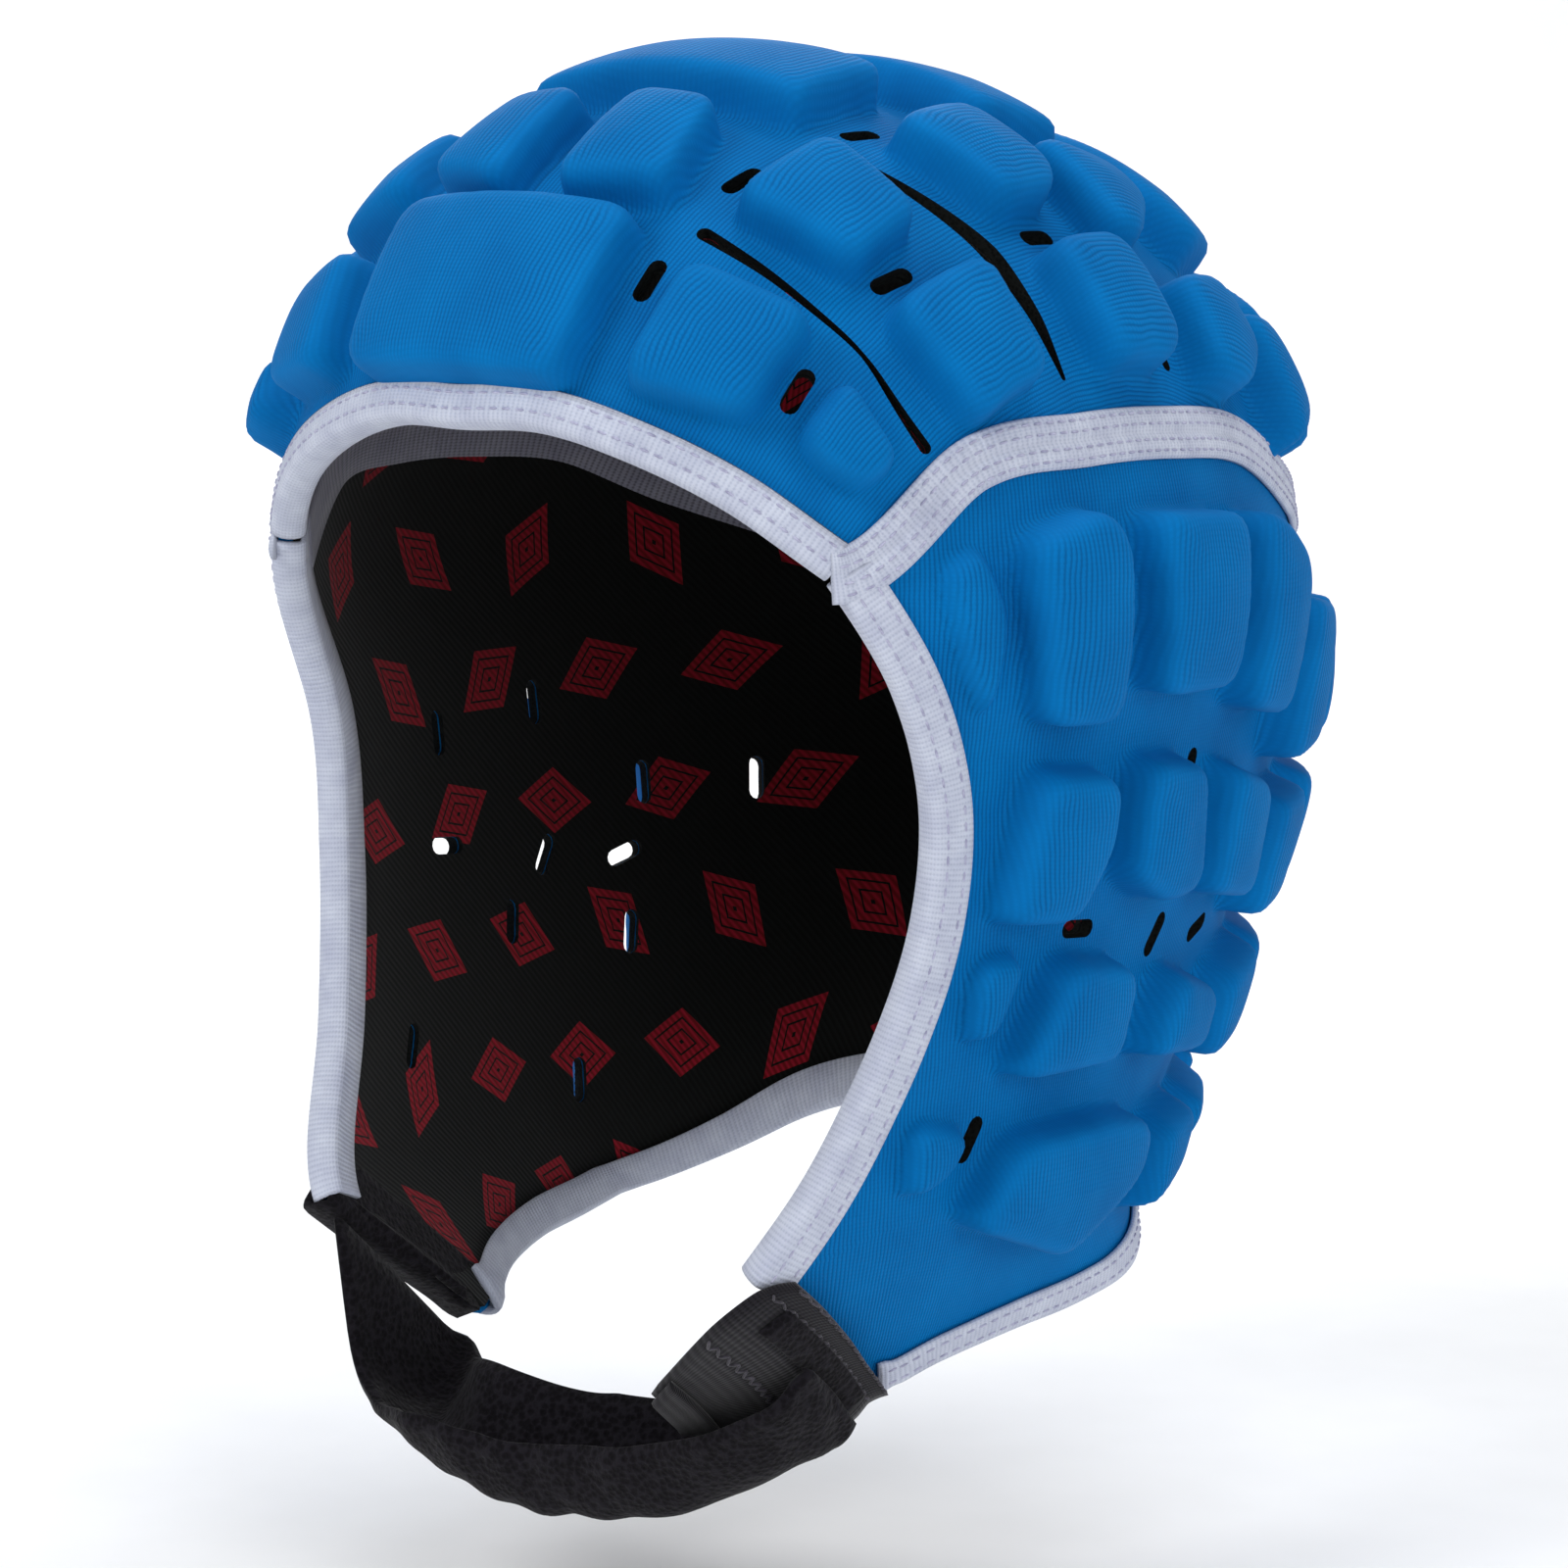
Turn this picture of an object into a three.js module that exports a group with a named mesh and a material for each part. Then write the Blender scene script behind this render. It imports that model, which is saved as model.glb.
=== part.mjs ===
// Rugby scrum cap: padded crown and side panels over a thin lining, bound edges,
// taped seams and a soft chin strap. Millimetres, +Z up, the face opening towards -Y,
// +X on the wearer's left. The origin is where the top of the head touches the lining.
import * as THREE from 'three';
import { mergeVertices } from 'three/addons/utils/BufferGeometryUtils.js';

// Head form, measured to the outside of the knitted cover between the pads
const halfWidth = 88;
const frontReach = 91;
const backReach = 109;
const crownRise = 88;
const skirtDrop = 142;
const sectionFullness = 2.1;
const apexForward = 8;

// Layers, outside to inside
const coverThickness = 2.4;
const liningThickness = 1;
const tapeThickness = 1;
const layerGap = 0.3;
const tapeGap = 1;
const stripWidth = 8;
const crownCoverRise = coverThickness + layerGap + liningThickness;

// Edges of the panels, all measured down from the outside of the crown
const browDrop = 56;
const templeDrop = 81;
const earSeamDrop = 60;
const napeSeamDrop = 86;
const faceCornerDrop = 203;
const neckCornerDrop = 231;
const napeDrop = 197;
const templeTurn = 46;
const faceCornerTurn = 38;
const neckCornerTurn = 56;
const seamGap = 0.5;

// Pads and the holes between them
const padHeight = 9;
const padCrown = 0.9;
const padShoulder = 3.2;
const padCornerCut = 5;
const padStep = 30;
const padRimGap = 8.6;
const slotWidth = 3.4;
const cutPadGap = 0.4;

// Tapes
const bindingWidth = 7;
const bindingOverhang = 1.2;
const seamTapeWidth = 9;
const seamTapeGroove = 0.5;
const innerTapeWidth = 8;
const backTapeWidth = 10;

// Strap
const strapWidth = 34;
const strapThickness = 2.6;
const strapSag = 42;
const strapForward = 14;
const tabThickness = 2;
const tabLap = 9;
const tabLength = 32;
const tabEndWidth = 13;
const farTabLength = 1.5;
const tabLapShare = 0.06;
const tabEndPlace = 0.6;
const strapStart = 5;

const coverColour = 0x0080c6;
const tapeColour = 0xc8c8d8;
const liningColour = 0x0a0c0a;
const innerTapeColour = 0x4a4a52;
const strapColour = 0x151316;

// Sections below the widest level, evenly spaced down the skirt. Width, front and back
// are shares of the sizes at the widest level, and centre is a share of the back reach.
const sections = [
  { width: 1.0, front: 1.0, back: 1.0, centre: 0.0 },
  { width: 0.94, front: 1.01, back: 1.06, centre: 0.0 },
  { width: 0.886, front: 1.045, back: 1.02, centre: -0.04 },
  { width: 0.823, front: 1.12, back: 0.865, centre: -0.035 },
  { width: 0.759, front: 1.235, back: 0.575, centre: 0.03 },
  { width: 0.654, front: 1.3, back: 0.28, centre: 0.34 },
];

// Turn is the plan angle from the face round to the back, in degrees. Fall is a share of
// the drop between the two named heights that each edge runs between.
const browRows = [0, 0, 0.18, 0.5, 1];
const seamRows = [0.81, 0.12, 0, 0, 0.1, 0.5, 0.84, 0.96, 1];
const faceRows = [
  { turn: 46, fall: 0 },
  { turn: 54, fall: 0.165 },
  { turn: 58.5, fall: 0.33 },
  { turn: 58, fall: 0.5 },
  { turn: 54, fall: 0.66 },
  { turn: 47, fall: 0.83 },
  { turn: 38, fall: 1 },
];
const neckRows = [1, 0.85, 0.75, 0.69, 0.58, 0.4, 0.18, 0.06, 0];
const faceShare = 0.84;
const edgeStrip = 0.045;

// Pads of the crown. Each corner is two angles seen from the middle of the head: rise,
// from the forehead over the top to the back, and side, out from the middle line.
const middlePads = [
  [[46, -16], [46, 16], [24, 15], [24, -15]],
  [[69, -20], [69, 20], [90, 18], [90, -18]],
  [[97, -26], [97, 26], [117, 25], [117, -25]],
];
const crownPads = [
  [[42, 22], [41, 38], [24, 35], [25, 20]],
  [[23, 39], [36, 42], [26, 51], [18, 47]],
  [[46, 3], [64, 3], [65, 14], [49, 17]],
  [[50, 22], [67, 25], [64, 40], [48, 38]],
  [[46, 42], [67, 46], [59, 61], [36, 57]],
  [[75, 27], [93, 25], [97, 38], [92, 43], [78, 43]],
  [[79, 48], [100, 47], [108, 61], [101, 65], [77, 64]],
  [[98, 31], [116, 32], [119, 39], [109, 48], [101, 47]],
  [[112, 51], [128, 45], [140, 52], [136, 61], [120, 63]],
  [[123, 3], [122, 33], [131, 38], [141, 32], [142, 3]],
  [[134, 47], [145, 39], [161, 42], [158, 56]],
  [[148, 3], [148, 33], [168, 36], [170, 3]],
];

// Pads of the side. Each corner is the turn, and the height as a share of the drop from
// the ear seam to the neck corner.
const sidePads = [
  [[57, 0.12], [62, 0.09], [66, 0.17], [64, 0.28], [60, 0.22]],
  [[66, 0.09], [77, 0.06], [81, 0.1], [81, 0.28], [69, 0.28]],
  [[84, 0.07], [103, 0.08], [102, 0.26], [86, 0.26]],
  [[105, 0.08], [112, 0.09], [120, 0.14], [119, 0.31], [107, 0.29]],
  [[123, 0.18], [137, 0.2], [136, 0.36], [124, 0.37]],
  [[140, 0.2], [157, 0.22], [156, 0.36], [140, 0.36]],
  [[160, 0.22], [172, 0.22], [172, 0.36], [159, 0.36]],
  [[70, 0.32], [83, 0.33], [83, 0.41], [77, 0.49], [65, 0.485]],
  [[87, 0.32], [100, 0.33], [104, 0.475], [95, 0.49], [86, 0.45]],
  [[107, 0.34], [119, 0.37], [121, 0.51], [106, 0.49]],
  [[124, 0.4], [137, 0.39], [136, 0.53], [124, 0.54]],
  [[140, 0.39], [157, 0.39], [156, 0.53], [140, 0.53]],
  [[160, 0.39], [172, 0.39], [172, 0.53], [160, 0.53]],
  [[64, 0.52], [72, 0.515], [68, 0.6], [63, 0.61]],
  [[77, 0.52], [92, 0.54], [91, 0.65], [68.5, 0.65]],
  [[103, 0.56], [117, 0.59], [116, 0.67], [98, 0.66]],
  [[121, 0.59], [136, 0.56], [134, 0.68], [120, 0.69]],
  [[140, 0.57], [157, 0.56], [155, 0.67], [139, 0.68]],
  [[160, 0.56], [171, 0.55], [171, 0.66], [159, 0.67]],
  [[56, 0.68], [66, 0.7], [62, 0.75], [55, 0.77]],
  [[72, 0.71], [91, 0.705], [104, 0.72], [103, 0.79], [86, 0.86], [63, 0.8]],
  [[108, 0.74], [123, 0.72], [122, 0.81], [106, 0.85]],
  [[128, 0.73], [143, 0.71], [141, 0.77], [127, 0.79]],
  [[147, 0.7], [170, 0.695], [170, 0.73], [147, 0.745]],
];

// Slots pierced in the channels, from one end to the other
const crownSlots = [
  [[43, 18.5], [36, 18]],
  [[35, 38.5], [28, 37.5]],
  [[54, 19.5], [61, 21]],
  [[51, 40], [58, 42]],
  [[76, 23], [79, 23.5]],
  [[85, 45], [92, 45]],
  [[110, 49.5], [116, 47]],
];
const sideSlots = [
  [[85, 0.35], [84.6, 0.41]],
  [[104.5, 0.32], [104.5, 0.4]],
  [[80, 0.505], [87, 0.51]],
  [[105, 0.515], [102, 0.555]],
  [[116, 0.55], [120, 0.54]],
  [[96, 0.57], [94, 0.64]],
  [[69, 0.69], [65.5, 0.745]],
  [[122, 0.44], [122, 0.49]],
  [[138.5, 0.44], [138.5, 0.5]],
  [[118.5, 0.61], [117.5, 0.66]],
  [[105.5, 0.77], [105, 0.82]],
];

// Slits between the pad rows of the crown, from the seam up, with the width at each point
const crownSlits = [
  [[31, 53, 2.2], [41, 43, 0.9], [45.5, 30, 1.8], [46.5, 21, 1.8], [52, 19.5, 2.6]],
  [[68.5, 62, 1], [72.5, 55, 2.6], [74.5, 45.5, 4.2], [72, 34, 2.4], [71, 26, 0.9]],
  [[113, 61, 2.4], [107.5, 51.5, 0.9]],
  [[163, 40.5, 2.2], [152, 37, 0.9]],
];

// Chin strap from the far tab to the near one. Sag and forward are shares of the strap's
// own sag and reach, and the two flaps run out and up from the keel, as shares of its width.
const strapRows = [
  { along: 0.0, sag: 0.02, forward: 0.0, frontOut: -0.47, frontUp: 0.42, backOut: 0.45, backUp: -0.42 },
  { along: 0.03, sag: 0.38, forward: -0.1, frontOut: -0.48, frontUp: 0.14, backOut: 0.46, backUp: 0.0 },
  { along: 0.1, sag: 0.64, forward: 0.2, frontOut: -0.42, frontUp: 0.2, backOut: 0.4, backUp: 0.18 },
  { along: 0.26, sag: 0.82, forward: 1.0, frontOut: -0.24, frontUp: 0.34, backOut: 0.28, backUp: 0.36 },
  { along: 0.5, sag: 1.0, forward: 0.86, frontOut: -0.14, frontUp: 0.44, backOut: 0.32, backUp: 0.4 },
  { along: 0.72, sag: 0.86, forward: 0.35, frontOut: -0.2, frontUp: 0.42, backOut: 0.36, backUp: 0.3 },
  { along: 0.88, sag: 0.66, forward: 0.05, frontOut: -0.34, frontUp: 0.36, backOut: 0.36, backUp: 0.12 },
  { along: 0.97, sag: 0.42, forward: 0.05, frontOut: -0.36, frontUp: 0.36, backOut: 0.3, backUp: -0.16 },
];

// A value from evenly spaced rows, joined smoothly
function along(rows, share) {
  const last = rows.length - 1;
  const place = THREE.MathUtils.clamp(share, 0, 1) * last;
  const row = Math.min(Math.floor(place), last - 1);
  const t = place - row;
  const b = rows[row];
  const c = rows[row + 1];
  const a = row > 0 ? rows[row - 1] : c;
  const d = row + 2 <= last ? rows[row + 2] : 2 * c - b;
  const rise = (c - a) * t + (2 * a - 5 * b + 4 * c - d) * t * t;
  return b + 0.5 * (rise + (3 * b - a - 3 * c + d) * t * t * t);
}

const sectionColumns = Object.fromEntries(
  ['width', 'front', 'back', 'centre'].map((name) => [name, sections.map((row) => row[name])]),
);
const crownTop = crownCoverRise;
const widestLevel = crownTop - crownRise;
const toRadians = THREE.MathUtils.degToRad;
const halvings = 32;
const slopeStep = 0.5;
const drawShare = 0.04;
const swapPasses = 20;

// Half width, reaches and centre of the level section at height z. Rise is the share of
// the way up from the widest level to the crown.
function sectionAt(z) {
  const rise = Math.max(0, (z - widestLevel) / crownRise);
  const depth = Math.max(0, (widestLevel - z) / skirtDrop);
  return {
    rise,
    width: halfWidth * along(sectionColumns.width, depth),
    front: frontReach * along(sectionColumns.front, depth),
    back: backReach * along(sectionColumns.back, depth),
    centre: backReach * along(sectionColumns.centre, depth) - apexForward * rise * rise,
  };
}

// Below zero inside the form, zero on it
function formValue(point) {
  const section = sectionAt(point.z);
  const reach = point.y < section.centre ? section.front : section.back;
  const across = Math.abs(point.x / section.width) ** sectionFullness;
  const forward = Math.abs((point.y - section.centre) / reach) ** sectionFullness;
  return (across + forward) ** (2 / sectionFullness) + section.rise ** 2 - 1;
}

// Outward direction of the form at a point on it
function surfaceNormal(point) {
  const slope = (axis) => {
    const before = point.clone();
    const after = point.clone();
    before[axis] -= slopeStep;
    after[axis] += slopeStep;
    return formValue(after) - formValue(before);
  };
  return new THREE.Vector3(slope('x'), slope('y'), slope('z')).normalize();
}

// The point where a ray from start leaves the form, moved out by offset
function surfacePoint(start, direction, offset) {
  let near = 0;
  let far = 2 * skirtDrop;
  const point = new THREE.Vector3();
  for (let step = 0; step < halvings; step += 1) {
    const reach = (near + far) / 2;
    point.copy(direction).multiplyScalar(reach).add(start);
    if (formValue(point) < 0) near = reach;
    else far = reach;
  }
  return point.addScaledVector(surfaceNormal(point), offset);
}

function wallPoint(turn, z, offset) {
  const angle = toRadians(turn);
  const direction = new THREE.Vector3(Math.sin(angle), -Math.cos(angle), 0);
  return surfacePoint(new THREE.Vector3(0, 0, z), direction, offset);
}

const turnOf = (point) => THREE.MathUtils.radToDeg(Math.atan2(point.x, -point.y));

function crownPoint(rise, side, offset) {
  const a = toRadians(rise);
  const b = toRadians(side);
  const direction = new THREE.Vector3(Math.sin(b), -Math.cos(b) * Math.cos(a), Math.cos(b) * Math.sin(a));
  return surfacePoint(new THREE.Vector3(0, 0, widestLevel), direction, offset);
}

const down = (drop) => crownTop - drop;
const between = (from, to, share) => from + (to - from) * share;
const steps = (from, to, count) => Array.from({ length: count + 1 }, (_, k) => between(from, to, k / count));

// Edge heights by turn
function browHeight(turn) {
  return down(between(browDrop, templeDrop, along(browRows, turn / templeTurn)));
}
function seamHeight(turn) {
  const fall = along(seamRows, (turn - templeTurn) / (180 - templeTurn));
  return down(between(earSeamDrop, napeSeamDrop, fall));
}
// Turns past the centre back count back towards the face
const fold = (turn) => Math.abs(turn > 180 ? turn - 360 : turn);
function crownEdgeHeight(turn) {
  return fold(turn) < templeTurn ? browHeight(fold(turn)) : seamHeight(fold(turn));
}
function neckHeight(turn) {
  const fall = along(neckRows, (turn - neckCornerTurn) / (180 - neckCornerTurn));
  return down(between(napeDrop, neckCornerDrop, fall));
}

// Front edge of a side panel: down the face opening, then across the tab to the neck
const faceTurns = faceRows.map((row) => row.turn);
const faceFalls = faceRows.map((row) => row.fall);
function faceEdge(v) {
  if (v < faceShare) {
    const fall = along(faceFalls, v / faceShare);
    return { turn: along(faceTurns, v / faceShare), z: down(between(templeDrop, faceCornerDrop, fall)) };
  }
  const share = (v - faceShare) / (1 - faceShare);
  return {
    turn: between(faceCornerTurn, neckCornerTurn, share),
    z: down(between(faceCornerDrop, neckCornerDrop, share)),
  };
}

// Turn and height inside a side panel, blended from its four edges: u runs from the face
// to the centre back, v from the seam down to the neck
function sidePlace(u, v) {
  const front = faceEdge(v);
  const seamTurn = between(templeTurn, 180, u);
  const neckTurn = between(neckCornerTurn, 180, u);
  const backZ = between(seamHeight(180), neckHeight(180), v);
  const corner = (name) => between(
    between(faceEdge(0)[name], faceEdge(1)[name], v),
    name === 'z' ? backZ : 180,
    u,
  );
  return {
    turn: between(front.turn, 180, u) + between(seamTurn, neckTurn, v) - corner('turn'),
    z: between(front.z, backZ, u) + between(seamHeight(seamTurn), neckHeight(neckTurn), v) - corner('z'),
  };
}

function sidePoint(u, v, offset) {
  const place = sidePlace(u, v);
  const point = wallPoint(place.turn, place.z - (v === 0 ? seamGap / 2 : 0), offset);
  if (u === 1) point.x = seamGap / 2;
  return point;
}

// Solids from points and triangles
function solidGeometry(points, triangles) {
  const geometry = new THREE.BufferGeometry();
  geometry.setAttribute('position', new THREE.Float32BufferAttribute(points.flatMap((p) => [p.x, p.y, p.z]), 3));
  let volume = 0;
  for (const [a, b, c] of triangles) {
    volume += points[a].dot(new THREE.Vector3().crossVectors(points[b], points[c]));
  }
  const faces = volume > 0 ? triangles : triangles.map(([a, b, c]) => [a, c, b]);
  geometry.setIndex(faces.flat());
  return mergeVertices(geometry, 1e-4);
}

// Joins rings of equal length into a closed solid. A loop's last ring meets its first,
// and otherwise both ends are capped.
function ringSolid(rings, loop = false) {
  const count = rings[0].length;
  const points = rings.flat();
  const triangles = [];
  const steps = loop ? rings.length : rings.length - 1;
  for (let ring = 0; ring < steps; ring += 1) {
    const next = (ring + 1) % rings.length;
    for (let k = 0; k < count; k += 1) {
      const a = ring * count + k;
      const b = ring * count + ((k + 1) % count);
      const c = next * count + ((k + 1) % count);
      const d = next * count + k;
      triangles.push([a, b, c], [a, c, d]);
    }
  }
  if (!loop) {
    for (const [ring, flip] of [[0, true], [rings.length - 1, false]]) {
      const contour = Array.from({ length: count }, (_, k) => ring * count + k);
      for (const [a, b, c] of capTriangles(contour, points)) triangles.push(flip ? [a, c, b] : [a, b, c]);
    }
  }
  return solidGeometry(points, triangles);
}

// Triangles over one flat ring
function capTriangles(contour, points) {
  const ring = contour.map((index) => points[index]);
  const normal = new THREE.Vector3();
  ring.forEach((p, k) => normal.add(new THREE.Vector3().crossVectors(p, ring[(k + 1) % ring.length])));
  normal.normalize();
  const xAxis = ring[1].clone().sub(ring[0]).normalize();
  const yAxis = new THREE.Vector3().crossVectors(normal, xAxis);
  const flat = ring.map((p) => new THREE.Vector2(p.dot(xAxis), p.dot(yAxis)));
  return THREE.ShapeUtils.triangulateShape(flat, []).map((face) => face.map((k) => contour[k]));
}

// A layout of the form on a plane, by the angle from a pole as seen from a centre
function planeAbout(centre, pole) {
  const turnToPole = new THREE.Quaternion().setFromUnitVectors(pole, new THREE.Vector3(0, 0, 1));
  return (point) => {
    const seen = point.clone().sub(centre).applyQuaternion(turnToPole);
    const radius = Math.hypot(seen.x, seen.y);
    return new THREE.Vector2(seen.x, seen.y).multiplyScalar(Math.atan2(radius, seen.z) / radius);
  };
}

// Nearest distance from a point to the sides of some loops
function clearance(point, loops) {
  const side = new THREE.Line3();
  const nearest = new THREE.Vector3();
  let least = Infinity;
  for (const loop of loops) {
    loop.forEach((corner, k) => {
      side.set(corner, loop[(k + 1) % loop.length]).closestPointToPoint(point, true, nearest);
      least = Math.min(least, nearest.distanceTo(point));
    });
  }
  return least;
}

// One pad: the foot on the cover and the smaller top ring, in the same order, with a
// point in the middle of each. Corners too near the panel's rim are drawn in.
function padRings(corners, place, rim) {
  const mix = (a, b, share) => [between(a[0], b[0], share), between(a[1], b[1], share)];
  const sum = (axis) => corners.reduce((total, corner) => total + corner[axis], 0);
  const middle = [sum(0) / corners.length, sum(1) / corners.length];
  const clear = corners.map((corner) => {
    let drawn = corner;
    while (clearance(place(...drawn, 0), [rim]) < padRimGap) drawn = mix(drawn, middle, drawShare);
    return drawn;
  });
  const outline = clear.flatMap((corner, k) => {
    const next = clear[(k + 1) % clear.length];
    const length = place(...corner, 0).distanceTo(place(...next, 0));
    const cut = Math.min(padCornerCut / length, 1 / 3);
    return steps(cut, 1 - cut, Math.ceil(length / padStep)).map((share) => mix(corner, next, share));
  });
  const centre = place(...middle, 0);
  const foot = outline.map((at) => place(...at, 0));
  const radius = foot.reduce((total, point) => total + point.distanceTo(centre), 0) / foot.length;
  return {
    foot,
    centre,
    top: outline.map((at) => place(...mix(at, middle, padShoulder / radius), padHeight)),
    crest: place(...middle, padHeight + padCrown),
  };
}

// The outline of a cut along some stations of changing width, kept clear of the pads
function cutLoop(stations, place, feet) {
  const centres = stations.map(([a, b]) => place(a, b, 0));
  const sides = stations.map(([, , width], k) => {
    const before = centres[Math.max(k - 1, 0)];
    const after = centres[Math.min(k + 1, centres.length - 1)];
    const across = new THREE.Vector3().crossVectors(surfaceNormal(centres[k]), after.clone().sub(before)).normalize();
    const half = Math.min(width / 2, clearance(centres[k], feet) - cutPadGap);
    return [centres[k].clone().addScaledVector(across, half), centres[k].clone().addScaledVector(across, -half)];
  });
  return [...sides.map((pair) => pair[0]), ...sides.map((pair) => pair[1]).reverse()];
}

const slotStations = (ends) => ends.map((end) => [...end, slotWidth]);

// Twice the area of a flat triangle, above zero when it runs anticlockwise
const flatArea = (a, b, c) => (b.x - a.x) * (c.y - a.y) - (c.x - a.x) * (b.y - a.y);

// Triangles between an outline and the holes in it, all given as point numbers
function fillBetween(outline, holes, flat) {
  const numbers = [outline, ...holes].flat();
  const onPlane = (loop) => loop.map((k) => flat[k]);
  const faces = THREE.ShapeUtils.triangulateShape(onPlane(outline), holes.map(onPlane));
  const triangles = faces.map((face) => face.map((k) => numbers[k]));
  triangles.forEach((face) => {
    if (flatArea(...onPlane(face)) < 0) face.reverse();
  });
  for (let pass = 0; pass < swapPasses; pass += 1) swapDiagonals(triangles, flat);
  return triangles;
}

const cornerAngle = (flat, corner, a, b) => (
  flat[a].clone().sub(flat[corner]).angleTo(flat[b].clone().sub(flat[corner])));

// Two triangles that share a side take the other diagonal where that makes them rounder
function swapDiagonals(triangles, flat) {
  const owners = new Map();
  triangles.forEach((face, index) => {
    face.forEach((a, k) => owners.set(`${a} ${face[(k + 1) % 3]}`, index));
  });
  const changed = new Set();
  for (const [key, first] of owners) {
    const [a, b] = key.split(' ').map(Number);
    const second = owners.get(`${b} ${a}`);
    if (second === undefined || changed.has(first) || changed.has(second)) continue;
    const c = triangles[first].find((k) => k !== a && k !== b);
    const d = triangles[second].find((k) => k !== a && k !== b);
    if (cornerAngle(flat, c, a, b) + cornerAngle(flat, d, a, b) <= Math.PI) continue;
    if (flatArea(flat[a], flat[d], flat[c]) <= 0 || flatArea(flat[b], flat[c], flat[d]) <= 0) continue;
    triangles[first] = [a, d, c];
    triangles[second] = [b, c, d];
    changed.add(first).add(second);
  }
}

// The shared layout of a panel and its lining: rim, a strip line inside it, pad feet and
// cuts, filled with triangles, and each foot's own fan
function panelLayout(rim, strip, pads, cuts, toPlane) {
  const points = [];
  const number = (loop) => {
    const flatLoop = loop.map(toPlane);
    const ordered = THREE.ShapeUtils.isClockWise(flatLoop) ? [...loop].reverse() : loop;
    points.push(...ordered);
    return ordered.map((_, k) => points.length - ordered.length + k);
  };
  const rimLoop = number(rim);
  const stripLoop = number(strip);
  const footLoops = pads.map((pad) => number(pad.foot));
  const cutLoops = cuts.map(number);
  const flat = points.map(toPlane);
  const open = [
    ...fillBetween(rimLoop, [stripLoop], flat),
    ...fillBetween(stripLoop, [...footLoops, ...cutLoops], flat),
  ];
  const fans = pads.flatMap((pad, index) => {
    const loop = footLoops[index];
    const centre = points.push(pad.centre) - 1;
    return loop.map((a, k) => [a, loop[(k + 1) % loop.length], centre]);
  });
  return { points, open, fans, footLoops, normals: points.map(surfaceNormal) };
}

// A closed solid between an outside skin, whose first points are the layout's, and the
// layout moved inwards
function layerSolid(layout, outside, inside, extra = [], outer = [...layout.open, ...layout.fans]) {
  const move = (offset) => layout.points.map((p, k) => p.clone().addScaledVector(layout.normals[k], offset));
  const points = [...move(outside), ...extra];
  const below = points.length;
  points.push(...move(inside));
  const triangles = [...outer];
  for (const [a, b, c] of [...layout.open, ...layout.fans]) triangles.push([below + a, below + c, below + b]);
  const sides = new Set(outer.flatMap((face) => face.map((a, k) => `${a} ${face[(k + 1) % 3]}`)));
  for (const side of sides) {
    const [a, b] = side.split(' ').map(Number);
    if (sides.has(`${b} ${a}`)) continue;
    triangles.push([b, a, below + a], [b, below + a, below + b]);
  }
  return solidGeometry(points, triangles);
}

// The cover of a panel, with its pads standing on it
function coverSolid(layout, pads) {
  const extra = [];
  const walls = pads.flatMap((pad, index) => {
    const foot = layout.footLoops[index];
    const ordered = pad.foot[0] === layout.points[foot[0]] ? pad.top : [...pad.top].reverse();
    const first = layout.points.length + extra.length;
    extra.push(...ordered, pad.crest);
    const crest = first + foot.length;
    return foot.flatMap((a, k) => {
      const next = (k + 1) % foot.length;
      return [[a, foot[next], first + next], [a, first + next, first + k], [first + k, first + next, crest]];
    });
  });
  return layerSolid(layout, 0, -coverThickness, extra, [...layout.open, ...walls]);
}

const sideShareHeight = (share) => down(between(earSeamDrop, neckCornerDrop, share));
const sideWall = (turn, share, offset) => wallPoint(turn, sideShareHeight(share), offset);

function mirrored(geometry) {
  const copy = geometry.clone();
  copy.scale(-1, 1, 1);
  const index = [...copy.getIndex().array];
  for (let k = 0; k < index.length; k += 3) [index[k], index[k + 1]] = [index[k + 1], index[k]];
  copy.setIndex(index);
  return copy;
}

const liningOutside = -coverThickness - layerGap;
const liningInside = liningOutside - liningThickness;

// Stations of the panels, shared by the tapes along their edges: a narrow strip at each
// edge under the tape, and even steps between
const sideColumns = [0, edgeStrip, ...steps(edgeStrip, 1 - edgeStrip, 8).slice(1, -1), 1 - edgeStrip, 1];
const faceStations = [0, ...steps(edgeStrip, faceShare, 6)];
const sideRows = [...faceStations, 1 - edgeStrip, 1];
const browTurns = steps(-templeTurn, templeTurn, 6);
const leftTurns = sideColumns.map((u) => between(templeTurn, 180, u));
const seamTurns = [...leftTurns, ...leftTurns.slice(0, -1).reverse().map((turn) => 360 - turn)];

// Crown: its edge runs along the brow and round the seam, and it is laid out flat by the
// angle from the top of the head
const bothSides = (rows) => rows.flatMap((row) => [row, row.map(([a, b, ...rest]) => [a, -b, ...rest])]);
const crownTurns = [...browTurns, ...seamTurns.slice(1, -1)];

function crownRing(inset) {
  return crownTurns.map((turn) => {
    const edge = Math.asin((crownEdgeHeight(turn) + seamGap / 2 - widestLevel) / crownRise);
    return wallPoint(turn, widestLevel + crownRise * Math.sin(edge + inset / crownRise), 0);
  });
}

const crownPlane = planeAbout(new THREE.Vector3(0, 0, widestLevel), new THREE.Vector3(0, 0, 1));

const crownRim = crownRing(0);
const crownPadRings = [...middlePads, ...bothSides(crownPads)].map((row) => padRings(row, crownPoint, crownRim));
const crownFeet = crownPadRings.map((pad) => pad.foot);
const crownCuts = bothSides([...crownSlots.map(slotStations), ...crownSlits])
  .map((row) => cutLoop(row, crownPoint, crownFeet));
const crownLayout = panelLayout(crownRim, crownRing(stripWidth), crownPadRings, crownCuts, crownPlane);

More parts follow.
